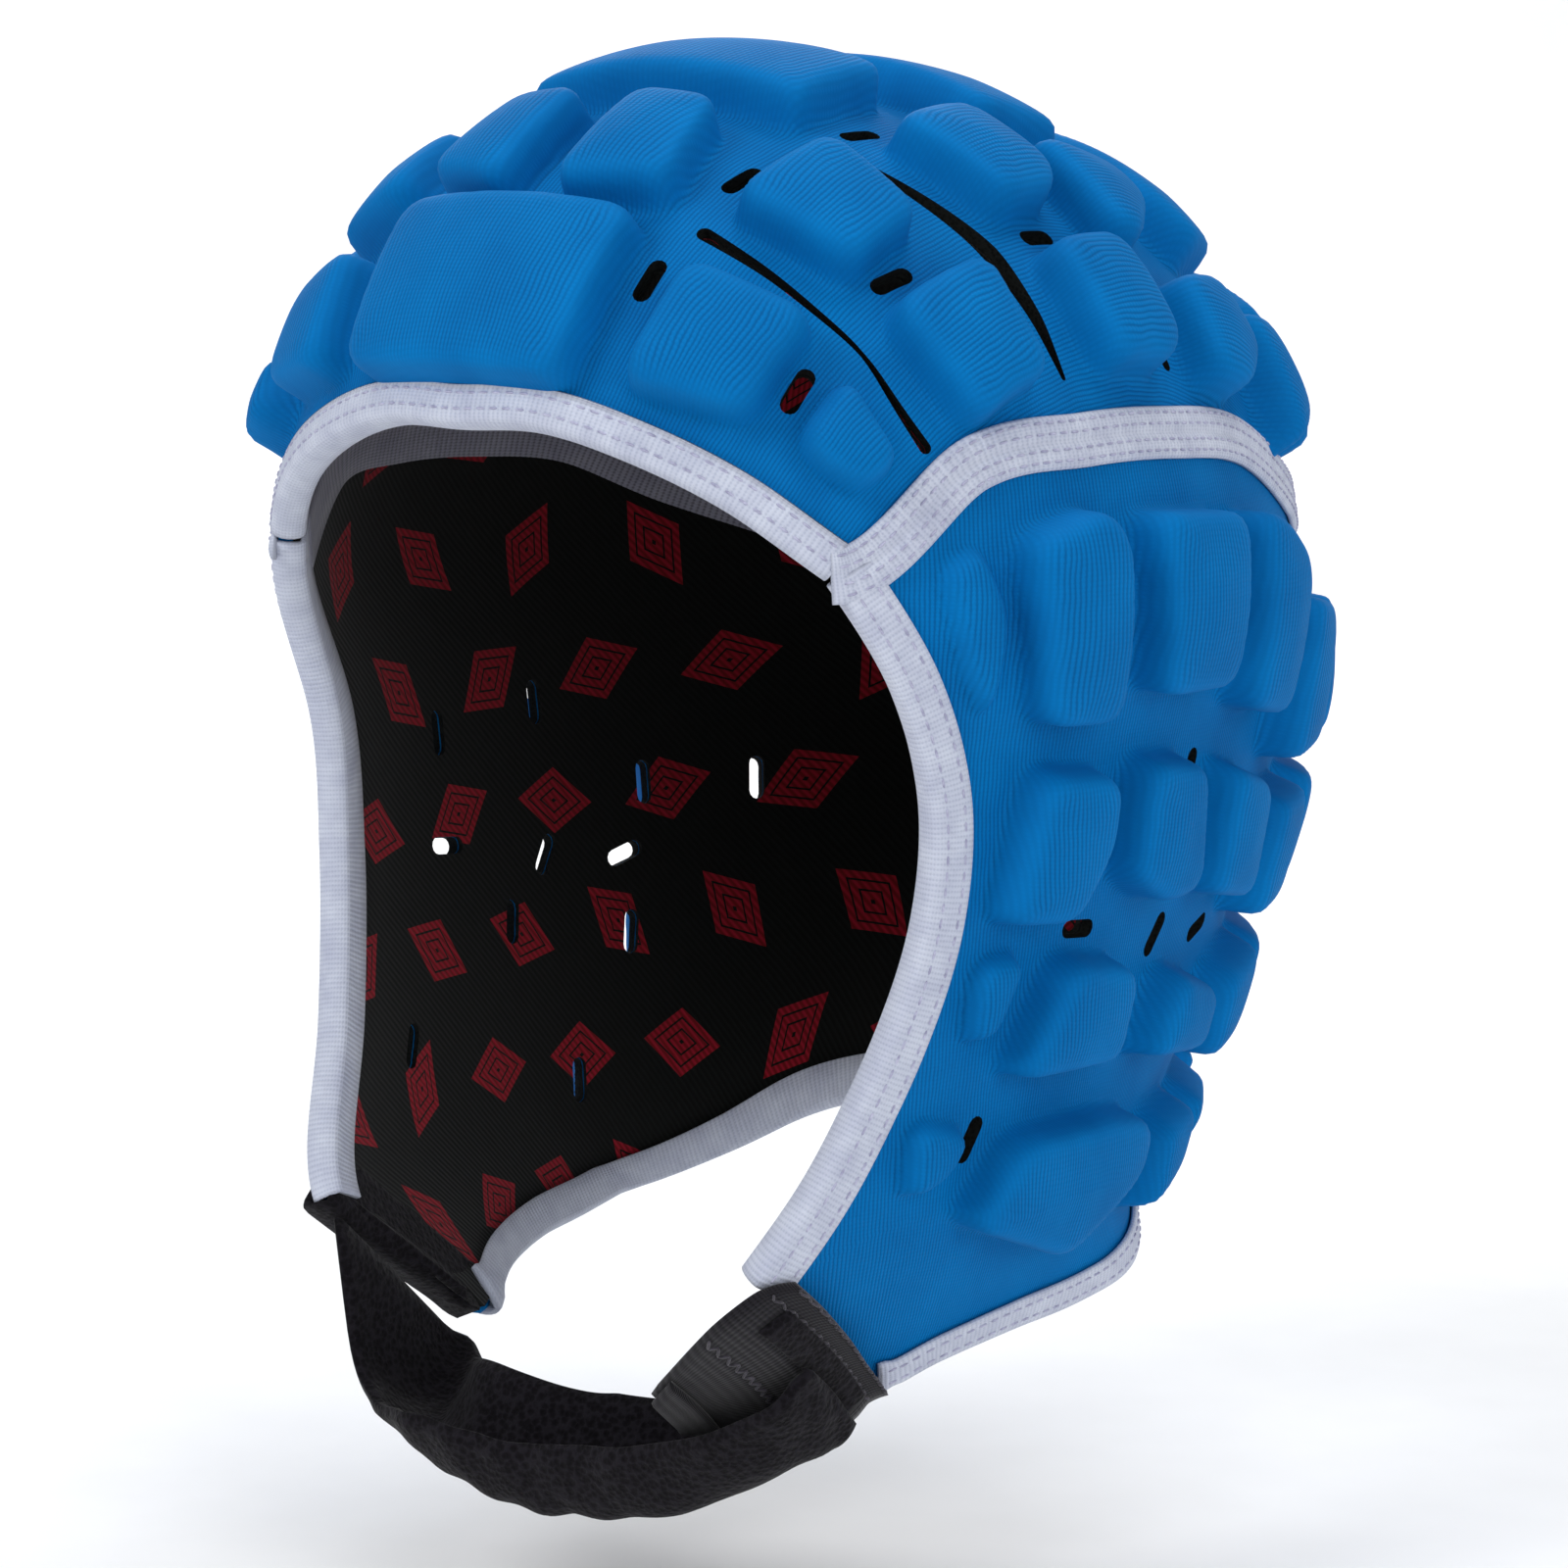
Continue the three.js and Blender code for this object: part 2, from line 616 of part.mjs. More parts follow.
// Side: laid out flat by the angle from its own middle
const sideMiddle = toRadians((templeTurn + 180) / 2);
const sidePole = new THREE.Vector3(Math.sin(sideMiddle), -Math.cos(sideMiddle), 0);
const sidePlane = planeAbout(new THREE.Vector3(0, 0, down((earSeamDrop + neckCornerDrop) / 2)), sidePole);

const edgeLoop = (columns, rows) => [
  ...columns.slice(0, -1).map((u) => [u, rows[0]]),
  ...rows.slice(0, -1).map((v) => [columns[columns.length - 1], v]),
  ...columns.slice(1).reverse().map((u) => [u, rows[rows.length - 1]]),
  ...rows.slice(1).reverse().map((v) => [columns[0], v]),
].map(([u, v]) => sidePoint(u, v, 0));

const sideRim = edgeLoop(sideColumns, sideRows);
const sideStrip = edgeLoop(sideColumns.slice(1, -1), sideRows.slice(1, -1));
const sidePadRings = sidePads.map((row) => padRings(row, sideWall, sideRim));
const sideFeet = sidePadRings.map((pad) => pad.foot);
const sideCuts = sideSlots.map((ends) => cutLoop(slotStations(ends), sideWall, sideFeet));
const sideLayout = panelLayout(sideRim, sideStrip, sidePadRings, sideCuts, sidePlane);

// Tapes. A path gives points on the outside of the cover, and reach moves from a point
// square to the path and along the surface, away from the panel's edge.
function tapeSolid(path, section, loop = false) {
  const count = path.length;
  const rings = path.map((point, k) => {
    const before = path[loop ? (k + count - 1) % count : Math.max(k - 1, 0)];
    const after = path[loop ? (k + 1) % count : Math.min(k + 1, count - 1)];
    const run = after.clone().sub(before).normalize();
    const across = new THREE.Vector3().crossVectors(surfaceNormal(point), run).normalize();
    return section.map(([reach, rise]) => {
      const at = point.clone().addScaledVector(across, reach);
      return wallPoint(turnOf(at), at.z, rise);
    });
  });
  return ringSolid(rings, loop);
}

// Folded edge tape: up the outside, round the edge and back on the inside
function bindingSection() {
  const outer = tapeGap + tapeThickness;
  const inner = liningInside - tapeGap;
  return [
    [bindingWidth, tapeGap],
    [bindingWidth, outer],
    [-bindingOverhang - tapeThickness, outer],
    [-bindingOverhang - tapeThickness, inner - tapeThickness],
    [bindingWidth, inner - tapeThickness],
    [bindingWidth, inner],
    [-bindingOverhang, inner],
    [-bindingOverhang, tapeGap],
  ];
}

function seamTapeSection(width, low, groove) {
  return [
    [width / 2, low],
    [width / 2, low + tapeThickness],
    [0, low + tapeThickness - groove],
    [-width / 2, low + tapeThickness],
    [-width / 2, low],
  ];
}

const tapeEndGap = 2.5;

// A path with a length taken off its start, and one with a length off each end
function shortened(path, length) {
  const rest = [...path];
  let left = length;
  while (rest.length > 2 && rest[0].distanceTo(rest[1]) <= left) {
    left -= rest[0].distanceTo(rest[1]);
    rest.shift();
  }
  rest[0] = rest[0].clone().lerp(rest[1], left / rest[0].distanceTo(rest[1]));
  return rest;
}
const trimmed = (path, start, end) => shortened(shortened(path, start).reverse(), end).reverse();

function makeForeheadBinding() {
  const path = browTurns.map((turn) => wallPoint(turn, browHeight(fold(turn)) + seamGap / 2, 0));
  return tapeSolid(trimmed(path, tapeEndGap, tapeEndGap), bindingSection());
}

function makeCheekBinding() {
  const path = faceStations.map((v) => sidePoint(0, v, 0));
  return tapeSolid(trimmed(path, tapeEndGap, tapeEndGap), bindingSection());
}

function makeNeckBinding() {
  const path = sideColumns.map((u) => sidePoint(u, 1, 0));
  return tapeSolid(trimmed(path, tabLap + tapeEndGap, seamGap), bindingSection());
}

function makeSeamTape(section) {
  const path = seamTurns.map((turn) => wallPoint(turn, seamHeight(fold(turn)), 0));
  return tapeSolid(trimmed(path, bindingWidth + tapeEndGap, bindingWidth + tapeEndGap), section);
}

function makeBackTape() {
  const path = sideRows.map((v) => sidePoint(1, v, 0).setX(0));
  const start = seamTapeWidth / 2 + tapeEndGap;
  const section = seamTapeSection(backTapeWidth, tapeGap, seamTapeGroove);
  return tapeSolid(trimmed(path, start, bindingWidth + bindingOverhang + tapeEndGap), section);
}

// The front lower corner of the side panel: the line across it, the outward direction of
// its middle and the direction away from the panel
const cornerEdge = (share) => sidePoint(0, between(faceShare, 1, share), 0);
const cornerLine = cornerEdge(1).sub(cornerEdge(0));
const cornerNormal = surfaceNormal(cornerEdge(0.5));
const cornerOut = new THREE.Vector3().crossVectors(cornerLine, cornerNormal).normalize();

// Tabs: each laps over the corner of its side panel and runs on to the chin
const tabRise = tapeGap + tapeThickness + tapeGap;

function tabPlate(length, endWidth) {
  const shares = steps(0, 1, 4);
  const endShare = (share) => between(tabEndPlace, share, endWidth / cornerLine.length());
  const rows = [
    shares.map((share) => sidePoint(tabLapShare, between(faceShare, 1, share), 0)),
    shares.map(cornerEdge),
    shares.map((share) => cornerEdge(share).addScaledVector(cornerOut, length / 3)),
    shares.map((share) => cornerEdge(0)
      .addScaledVector(cornerLine, endShare(share))
      .addScaledVector(cornerOut, length)
      .addScaledVector(cornerNormal, -length / 3)),
  ];
  const lift = (row, rise) => row.map((point) => point.clone().addScaledVector(cornerNormal, rise));
  return ringSolid(rows.map((row) => [...lift(row, tabRise), ...lift(row, tabRise + tabThickness).reverse()]));
}

// Chin strap: a band from tab to tab, gathered into a trough under the chin
function makeStrap() {
  const near = cornerEdge(0.5).addScaledVector(cornerOut, strapStart);
  const far = near.clone().setX(-near.x);
  const column = (name, share) => {
    const last = strapRows.length - 1;
    const row = strapRows.findIndex((r, k) => k === last - 1 || share < strapRows[k + 1].along);
    const t = (share - strapRows[row].along) / (strapRows[row + 1].along - strapRows[row].along);
    const slope = (k) => {
      const before = strapRows[Math.max(k - 1, 0)];
      const after = strapRows[Math.min(k + 1, last)];
      return (after[name] - before[name]) / (after.along - before.along);
    };
    const gap = strapRows[row + 1].along - strapRows[row].along;
    const a = strapRows[row][name];
    const b = strapRows[row + 1][name];
    const t2 = t * t;
    const t3 = t2 * t;
    return a * (2 * t3 - 3 * t2 + 1) + slope(row) * gap * (t3 - 2 * t2 + t)
      + b * (3 * t2 - 2 * t3) + slope(row + 1) * gap * (t3 - t2);
  };
  const shares = strapRows.flatMap((row, k) => (k < strapRows.length - 1
    ? [row.along, between(row.along, strapRows[k + 1].along, 0.5)] : [row.along]));
  const lines = shares.map((share) => {
    const keel = far.clone().lerp(near, share);
    keel.y -= strapForward * column('forward', share);
    keel.z -= strapSag * column('sag', share);
    const flap = (y, z) => keel.clone().add(new THREE.Vector3(0, strapWidth * y, strapWidth * z));
    return [
      flap(column('frontOut', share), column('frontUp', share)),
      keel,
      flap(column('backOut', share), column('backUp', share)),
    ];
  });
  const rings = lines.map((line, k) => {
    const before = lines[Math.max(k - 1, 0)];
    const after = lines[Math.min(k + 1, lines.length - 1)];
    const inner = line.map((p, j) => {
      const run = after[j].clone().sub(before[j]);
      const across = line[Math.min(j + 1, 2)].clone().sub(line[Math.max(j - 1, 0)]);
      return p.clone().addScaledVector(new THREE.Vector3().crossVectors(across, run).normalize(), strapThickness);
    });
    return [...line, ...inner.reverse()];
  });
  return ringSolid(rings);
}

function material(color, roughness) {
  return new THREE.MeshStandardMaterial({ color, roughness, metalness: 0 });
}

function named(name, geometry, color, roughness) {
  const mesh = new THREE.Mesh(geometry, material(color, roughness));
  mesh.name = name;
  return mesh;
}

const outerSeam = seamTapeSection(seamTapeWidth, tapeGap, seamTapeGroove);
const innerSeam = seamTapeSection(innerTapeWidth, liningInside - tapeGap - tapeThickness, 0);
const sidePanel = coverSolid(sideLayout, sidePadRings);
const sideLining = layerSolid(sideLayout, liningOutside, liningInside);
const cheekBinding = makeCheekBinding();
const neckBinding = makeNeckBinding();
const cap = new THREE.Group();
cap.add(
  named('crown_panel', coverSolid(crownLayout, crownPadRings), coverColour, 0.8),
  named('side_panel_left', sidePanel, coverColour, 0.8),
  named('side_panel_right', mirrored(sidePanel), coverColour, 0.8),
  named('crown_lining', layerSolid(crownLayout, liningOutside, liningInside), liningColour, 0.9),
  named('side_lining_left', sideLining, liningColour, 0.9),
  named('side_lining_right', mirrored(sideLining), liningColour, 0.9),
  named('forehead_binding', makeForeheadBinding(), tapeColour, 0.8),
  named('cheek_binding_left', cheekBinding, tapeColour, 0.8),
  named('cheek_binding_right', mirrored(cheekBinding), tapeColour, 0.8),
  named('neck_binding_left', neckBinding, tapeColour, 0.8),
  named('neck_binding_right', mirrored(neckBinding), tapeColour, 0.8),
  named('seam_binding', makeSeamTape(outerSeam), tapeColour, 0.8),
  named('inner_seam_tape', makeSeamTape(innerSeam), innerTapeColour, 0.9),
  named('back_seam_tape', makeBackTape(), tapeColour, 0.8),
  named('strap_tab_left', tabPlate(tabLength, tabEndWidth), strapColour, 0.85),
  named('strap_tab_right', mirrored(tabPlate(farTabLength, strapWidth)), strapColour, 0.85),
  named('chin_strap', makeStrap(), strapColour, 0.85),
);

export default cap;
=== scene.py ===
# Rugby scrum cap. Metres, +Z up, the face towards -Y, +X on the wearer's left.
import math

import bmesh
import bpy
import numpy as np
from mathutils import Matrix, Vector


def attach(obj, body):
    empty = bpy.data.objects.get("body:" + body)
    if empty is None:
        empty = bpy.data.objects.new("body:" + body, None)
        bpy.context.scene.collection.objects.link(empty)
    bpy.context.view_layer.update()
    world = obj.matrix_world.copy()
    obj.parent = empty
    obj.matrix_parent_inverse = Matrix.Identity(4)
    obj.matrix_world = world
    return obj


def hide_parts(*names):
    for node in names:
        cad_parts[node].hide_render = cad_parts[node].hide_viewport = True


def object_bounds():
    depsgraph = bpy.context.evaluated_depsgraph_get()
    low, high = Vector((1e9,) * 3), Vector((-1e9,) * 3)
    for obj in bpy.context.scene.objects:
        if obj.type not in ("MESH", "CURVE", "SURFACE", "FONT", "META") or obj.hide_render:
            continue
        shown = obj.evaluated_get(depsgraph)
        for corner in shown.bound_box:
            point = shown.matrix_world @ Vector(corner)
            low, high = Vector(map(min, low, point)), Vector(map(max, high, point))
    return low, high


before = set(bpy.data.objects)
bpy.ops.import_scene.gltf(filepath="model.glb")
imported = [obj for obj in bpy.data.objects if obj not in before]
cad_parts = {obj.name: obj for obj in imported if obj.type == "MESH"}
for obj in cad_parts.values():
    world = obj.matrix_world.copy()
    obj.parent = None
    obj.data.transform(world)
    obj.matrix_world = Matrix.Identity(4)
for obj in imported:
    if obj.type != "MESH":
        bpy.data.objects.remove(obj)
cad_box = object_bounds()

# --- View -----------------------------------------------------------------------------
# A long lens a little above the brow, off the wearer's left, as the cap was photographed.
# The numbers were fitted to the outline of the cap in the photograph.
AZIMUTH, ELEVATION, DISTANCE, LENS = math.radians(39.0), math.radians(7.8), 0.95, 116.6
AIM_RIGHT, AIM_HEIGHT = 0.0028, -0.1249


def add_object(name, data):
    made = bpy.data.objects.new(name, data)
    bpy.context.scene.collection.objects.link(made)
    return made


back = Vector((math.sin(AZIMUTH) * math.cos(ELEVATION), -math.cos(AZIMUTH) * math.cos(ELEVATION),
               math.sin(ELEVATION)))
right = Vector((math.cos(AZIMUTH), math.sin(AZIMUTH), 0))
aim = right * AIM_RIGHT + Vector((0, 0, AIM_HEIGHT))
camera = add_object("camera", bpy.data.cameras.new("camera"))
camera.data.lens = LENS
camera.data.sensor_width = 36
camera.data.clip_start = 0.05
camera.location = aim + back * DISTANCE
camera.rotation_euler = (camera.location - aim).to_track_quat("Z", "Y").to_euler()
bpy.context.scene.camera = camera

# --- Crown cover ----------------------------------------------------------------------
# A blue ribbed knit laminated over closed-cell foam: blocks of foam stand in rows, and the
# knit is pressed down into the channels between them, where it is slit and punched.
MM = 0.001
HALF_WIDTH, FRONT_REACH, BACK_REACH, CROWN_RISE, SKIRT_DROP = 88.0, 91.0, 109.0, 88.0, 142.0
FULLNESS, APEX_FORWARD = 2.1, 8.0
COVER, LAYER_GAP, LINING, TAPE, TAPE_GAP = 2.4, 0.3, 1.0, 1.0, 0.35
CROWN_TOP = COVER + LAYER_GAP + LINING
WIDEST = CROWN_TOP - CROWN_RISE
BROW, TEMPLE, EAR_SEAM, NAPE_SEAM = 56.0, 81.0, 60.0, 86.0
FACE_CORNER, NECK_CORNER, NAPE = 203.0, 231.0, 197.0
TEMPLE_TURN, NECK_TURN, FACE_TURN, FACE_SHARE, SEAM_GAP = 46.0, 56.0, 38.0, 0.84, 0.5
SECTIONS = {
    "width": [1.0, 0.94, 0.886, 0.823, 0.759, 0.654],
    "front": [1.0, 1.01, 1.045, 1.12, 1.235, 1.3],
    "back": [1.0, 1.06, 1.02, 0.865, 0.575, 0.28],
    "centre": [0.0, 0.0, -0.04, -0.035, 0.03, 0.34],
}
BROW_FALL = [0, 0, 0.18, 0.5, 1]
SEAM_FALL = [0.81, 0.12, 0, 0, 0.1, 0.5, 0.84, 0.96, 1]
PAD_HEIGHT, PAD_DOME, LOW_PAD = 8.8, 1.0, 0.55


def along(rows, share):
    """Smooth values from evenly spaced rows."""
    rows = np.asarray(rows, float)
    last = len(rows) - 1
    place = np.clip(np.asarray(share, float), 0, 1) * last
    row = np.minimum(place.astype(int), last - 1)
    t = place - row
    b, c = rows[row], rows[row + 1]
    a = np.where(row > 0, rows[np.maximum(row - 1, 0)], c)
    d = np.where(row + 2 <= last, rows[np.minimum(row + 2, last)], 2 * c - b)
    return b + 0.5 * ((c - a) * t + (2 * a - 5 * b + 4 * c - d) * t * t + (3 * b - a - 3 * c + d) * t ** 3)


def form_value(p):
    """Below zero inside the head form, zero on it. p is an array of points in mm."""
    rise = np.maximum(0, (p[..., 2] - WIDEST) / CROWN_RISE)
    depth = np.maximum(0, (WIDEST - p[..., 2]) / SKIRT_DROP)
    centre = BACK_REACH * along(SECTIONS["centre"], depth) - APEX_FORWARD * rise * rise
    forward = p[..., 1] - centre
    reach = np.where(forward < 0, FRONT_REACH * along(SECTIONS["front"], depth),
                     BACK_REACH * along(SECTIONS["back"], depth))
    width = HALF_WIDTH * along(SECTIONS["width"], depth)
    across = np.abs(p[..., 0] / width) ** FULLNESS + np.abs(forward / reach) ** FULLNESS
    return across ** (2 / FULLNESS) + rise * rise - 1


def unit(vectors):
    return vectors / np.linalg.norm(vectors, axis=-1, keepdims=True)


def form_normal(p):
    out = np.zeros_like(p)
    for axis in range(3):
        step = np.zeros(3)
        step[axis] = 0.5
        out[..., axis] = form_value(p + step) - form_value(p - step)
    return unit(out)


def on_form(start, direction):
    near = np.zeros(direction.shape[:-1])
    far = np.full(direction.shape[:-1], 2 * SKIRT_DROP)
    for _ in range(34):
        middle = (near + far) / 2
        inside = form_value(start + direction * middle[..., None]) < 0
        near = np.where(inside, middle, near)
        far = np.where(inside, far, middle)
    return start + direction * near[..., None]


def wall_points(turn, z):
    a = np.radians(turn)
    direction = np.stack([np.sin(a), -np.cos(a), np.zeros_like(a)], -1)
    return on_form(np.stack([np.zeros_like(a), np.zeros_like(a), z], -1), direction)


def crown_points(rise, side):
    a, b = np.radians(rise), np.radians(side)
    direction = np.stack([np.sin(b), -np.cos(b) * np.cos(a), np.cos(b) * np.sin(a)], -1)
    return on_form(np.array([0.0, 0.0, WIDEST]), direction)


def crown_angles(p):
    d = unit(p - np.array([0.0, 0.0, WIDEST]))
    return np.degrees(np.arctan2(d[..., 2], -d[..., 1])), np.degrees(np.arcsin(np.clip(d[..., 0], -1, 1)))


def down(drop):
    return CROWN_TOP - drop


def brow_height(turn):
    return down(BROW + (TEMPLE - BROW) * along(BROW_FALL, turn / TEMPLE_TURN))


def seam_height(turn):
    share = (turn - TEMPLE_TURN) / (180 - TEMPLE_TURN)
    return down(EAR_SEAM + (NAPE_SEAM - EAR_SEAM) * along(SEAM_FALL, share))


def round_outline(corners, points, cut=5.2, most=0.42, spacing=1.5):
    """A pad's outline with rounded corners, as dense points of the form."""
    corners = np.array(corners, float)
    places = []
    for k, corner in enumerate(corners):
        here = points(*corner[:, None])[0]
        ends = []
        for other in (corners[k - 1], corners[(k + 1) % len(corners)]):
            away = np.linalg.norm(points(*other[:, None])[0] - here)
            ends.append(corner + (other - corner) * min(most, cut / away))
        t = np.linspace(0, 1, 7)[:, None]
        places.append((1 - t) ** 2 * ends[0] + 2 * t * (1 - t) * corner + t ** 2 * ends[1])
    places = np.concatenate(places)
    dense = []
    for k, place in enumerate(places):
        after = places[(k + 1) % len(places)]
        parts = max(1, int(np.linalg.norm(points(*place[:, None]) - points(*after[:, None])) / spacing))
        dense += [place + (after - place) * s / parts for s in range(parts)]
    dense = np.array(dense)
    return dense, points(dense[:, 0], dense[:, 1])


def inside_outline(px, py, outline):
    hit = np.zeros(px.shape, bool)
    for (x0, y0), (x1, y1) in zip(outline, np.roll(outline, -1, 0)):
        if y0 == y1:
            continue
        hit ^= ((y0 > py) != (y1 > py)) & (px < (x1 - x0) * (py - y0) / (y1 - y0) + x0)
    return hit


# A block's side from its foot to its flat top: how far in it has come and how high it is
# in tenths of its height, against how much of the flat knit it has taken up. A block whose
# middle is less than FULL_SIDE in has a steeper side. Where the knit is stretched, its ribs fade.
SIDE_FROM = [0.0, 0.06, 0.12, 0.18, 0.23, 0.28, 0.33, 0.39]
SIDE_IN = [0.0, 0.35, 0.55, 0.8, 1.05, 1.4, 2.0, 3.0]
SIDE_UP = [0.0, 1.2, 3.6, 6.2, 8.0, 9.15, 9.7, 10.0]
SPREAD, FULL_SIDE, DOME_CURVE = 12.0, 8.0, 0.6
STRETCH_FROM, STRETCH = [0, 0.04, 0.1, 0.32, 0.5], [0, 0.6, 0.85, 0.85, 0]


def to_outline(p, edge):
    """The nearest point of a closed outline to each of some points."""
    first = np.linalg.norm(p[:, None] - edge[None], axis=2).argmin(1)
    best, nearest = None, None
    for step in (-1, 0):
        a, b = edge[(first + step) % len(edge)], edge[(first + step + 1) % len(edge)]
        t = np.clip(((p - a) * (b - a)).sum(1) / ((b - a) ** 2).sum(1), 0, 1)
        at = a + (b - a) * t[:, None]
        gap = np.linalg.norm(p - at, axis=1)
        if best is None:
            best, nearest = gap, at
        else:
            nearest = np.where((gap < best)[:, None], at, nearest)
            best = np.minimum(gap, best)
    return nearest, best


def soften(grid, loop, passes=2):
    """Evens out the knit between neighbouring points, as cloth does over foam."""
    for _ in range(passes):
        if loop:
            side = (np.roll(grid, 1, 1) + np.roll(grid, -1, 1)) / 2
        else:
            side = grid.copy()
            side[:, 1:-1] = (grid[:, 2:] + grid[:, :-2]) / 2
        up = side.copy()
        up[1:-1] = (grid[2:] + grid[:-2]) / 2
        grid = grid.copy()
        grid[1:-1] = grid[1:-1] * 0.4 + (side[1:-1] + up[1:-1]) * 0.3
    return grid


def raise_pads(surface, normals, places, pads, points, loop, low_pads=()):
    """Moves the knit of a panel up over its foam blocks, and tells how far it is stretched."""
    p = surface.reshape(-1, 3)
    n = normals.reshape(-1, 3)
    a, b = (x.reshape(-1) for x in places)
    moved, stretch = p.copy(), np.zeros(len(p))
    for number, corners in enumerate(pads):
        outline, edge = round_outline(corners, points)
        inner = np.where((a > outline[:, 0].min()) & (a < outline[:, 0].max())
                         & (b > outline[:, 1].min()) & (b < outline[:, 1].max()))[0]
        inner = inner[inside_outline(a[inner], b[inner], outline)]
        if not len(inner):
            continue
        closest, gap = to_outline(p[inner], edge)
        widest = gap.max()
        reach = min(SPREAD, widest)
        share = gap / reach
        top = SIDE_IN[-1] * min(1, widest / FULL_SIDE)
        scale = top / SIDE_IN[-1]
        inset = np.interp(share, SIDE_FROM + [1.0], [v * scale for v in SIDE_IN] + [reach])
        inset = np.where(share > 1, gap, inset)
        height = np.interp(share, SIDE_FROM, SIDE_UP) * PAD_HEIGHT / SIDE_UP[-1]
        height += PAD_DOME * np.clip((inset - top) / max(widest - top, 1), 0, 1) ** DOME_CURVE
        height *= LOW_PAD if number in low_pads else 1
        stretch[inner] = np.interp(share, STRETCH_FROM, STRETCH)
        outward = closest - p[inner]
        outward /= np.maximum(np.linalg.norm(outward, axis=1, keepdims=True), 1e-6)
        moved[inner] = p[inner] + outward * (gap - inset)[:, None] + n[inner] * height[:, None]
    return soften(moved.reshape(surface.shape), loop), stretch.reshape(surface.shape[:2])


def new_object(name, vertices, faces, uvs=None):
    mesh = bpy.data.meshes.new(name)
    mesh.from_pydata((np.asarray(vertices) * MM).tolist(), [], faces)
    if uvs is not None:
        layer = mesh.uv_layers.new(name="cloth_mm")
        loops = np.zeros(len(mesh.loops), np.int32)
        mesh.loops.foreach_get("vertex_index", loops)
        layer.data.foreach_set("uv", np.asarray(uvs, np.float32)[loops].reshape(-1))
    bm = bmesh.new()
    bm.from_mesh(mesh)
    bmesh.ops.recalc_face_normals(bm, faces=bm.faces)
    if bm.calc_volume(signed=True) < 0:
        bmesh.ops.reverse_faces(bm, faces=bm.faces)
    bm.to_mesh(mesh)
    bm.free()
    mesh.shade_smooth()
    piece = add_object(name, mesh)
    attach(piece, "root")
    return piece


def layered(name, outer, inner, uv, loop, stretch=None):
    """A closed sheet between two grids of points. A loop's columns close round."""
    rows, columns = outer.shape[:2]
    inner_rows = inner.shape[0]
    vertices = np.concatenate([outer.reshape(-1, 3), inner.reshape(-1, 3)])
    low = rows * columns
    last = columns if loop else columns - 1
    faces = []
    for base, count in ((0, rows), (low, inner_rows)):
        k = np.arange(last)
        for r in range(count - 1):
            a = base + r * columns + k
            b = base + r * columns + (k + 1) % columns
            quads = np.stack([a, b, b + columns, a + columns], 1)
            faces += (quads if base == 0 else quads[:, ::-1]).tolist()
    ends = [(rows - 1, inner_rows - 1)] if loop else [(rows - 1, inner_rows - 1), (0, 0)]
    for r, s in ends:
        for k in range(last):
            n = (k + 1) % columns
            faces.append([r * columns + k, r * columns + n, low + s * columns + n, low + s * columns + k])
    if loop:
        faces.append(list(range(columns)))
        faces.append([low + k for k in reversed(range(columns))])
    else:
        for k in (0, columns - 1):
            for r in range(rows - 1):
                faces.append([r * columns + k, (r + 1) * columns + k,
                              low + (r + 1) * columns + k, low + r * columns + k])
    uvs = np.concatenate([uv[0].reshape(-1, 2), uv[1].reshape(-1, 2)])
    piece = new_object(name, vertices, faces, uvs)
    if stretch is not None:
        values = np.zeros(len(vertices), np.float32)
        values[:rows * columns] = stretch.reshape(-1)
        piece.data.attributes.new("stretch", "FLOAT", "POINT").data.foreach_set("value", values)
    return piece


CROWN_COLUMNS, POLE_SHARE, KNIT_RADIUS = 640, 0.02, 90.0
crown_turns = np.linspace(-180, 180, CROWN_COLUMNS + 1)[1:]
folded = np.abs(crown_turns)
edge_z = np.where(folded < TEMPLE_TURN, brow_height(folded), seam_height(folded)) + SEAM_GAP / 2
edge_angle = np.arcsin((edge_z - WIDEST) / CROWN_RISE)


def crown_grid(count):
    share = np.linspace(POLE_SHARE, 1, count)[:, None]
    latitude = np.pi / 2 + (edge_angle[None] - np.pi / 2) * share
    turns = np.broadcast_to(crown_turns, latitude.shape)
    points = wall_points(turns, WIDEST + CROWN_RISE * np.sin(latitude))
    a = np.radians(turns)
    reach = (np.pi / 2 - latitude) * KNIT_RADIUS
    return points, np.stack([np.sin(a) * reach, -np.cos(a) * reach], -1)


def mirror_rows(rows):
    return rows + [[[c[0], -c[1]] + list(c[2:]) for c in row] for row in rows]


MIDDLE_PADS = [
    [[46, -16], [46, 16], [24, 15], [24, -15]],
    [[69, -20], [69, 20], [90, 18], [90, -18]],
    [[97, -26], [97, 26], [117, 25], [117, -25]],
]
CROWN_PADS = [
    [[42, 22], [41, 38], [24, 35], [25, 20]],
    [[23, 39], [36, 42], [26, 51], [18, 47]],
    [[46, 3], [64, 3], [65, 14], [49, 17]],
    [[50, 22], [67, 25], [64, 40], [48, 38]],
    [[46, 42], [67, 46], [59, 61], [36, 57]],
    [[75, 27], [93, 25], [97, 38], [92, 43], [78, 43]],
    [[79, 48], [100, 47], [108, 61], [101, 65], [77, 64]],
    [[98, 31], [116, 32], [119, 39], [109, 48], [101, 47]],
    [[112, 51], [128, 45], [140, 52], [136, 61], [120, 63]],
    [[123, 3], [122, 33], [131, 38], [141, 32], [142, 3]],
    [[134, 47], [145, 39], [161, 42], [158, 56]],
    [[148, 3], [148, 33], [168, 36], [170, 3]],
]
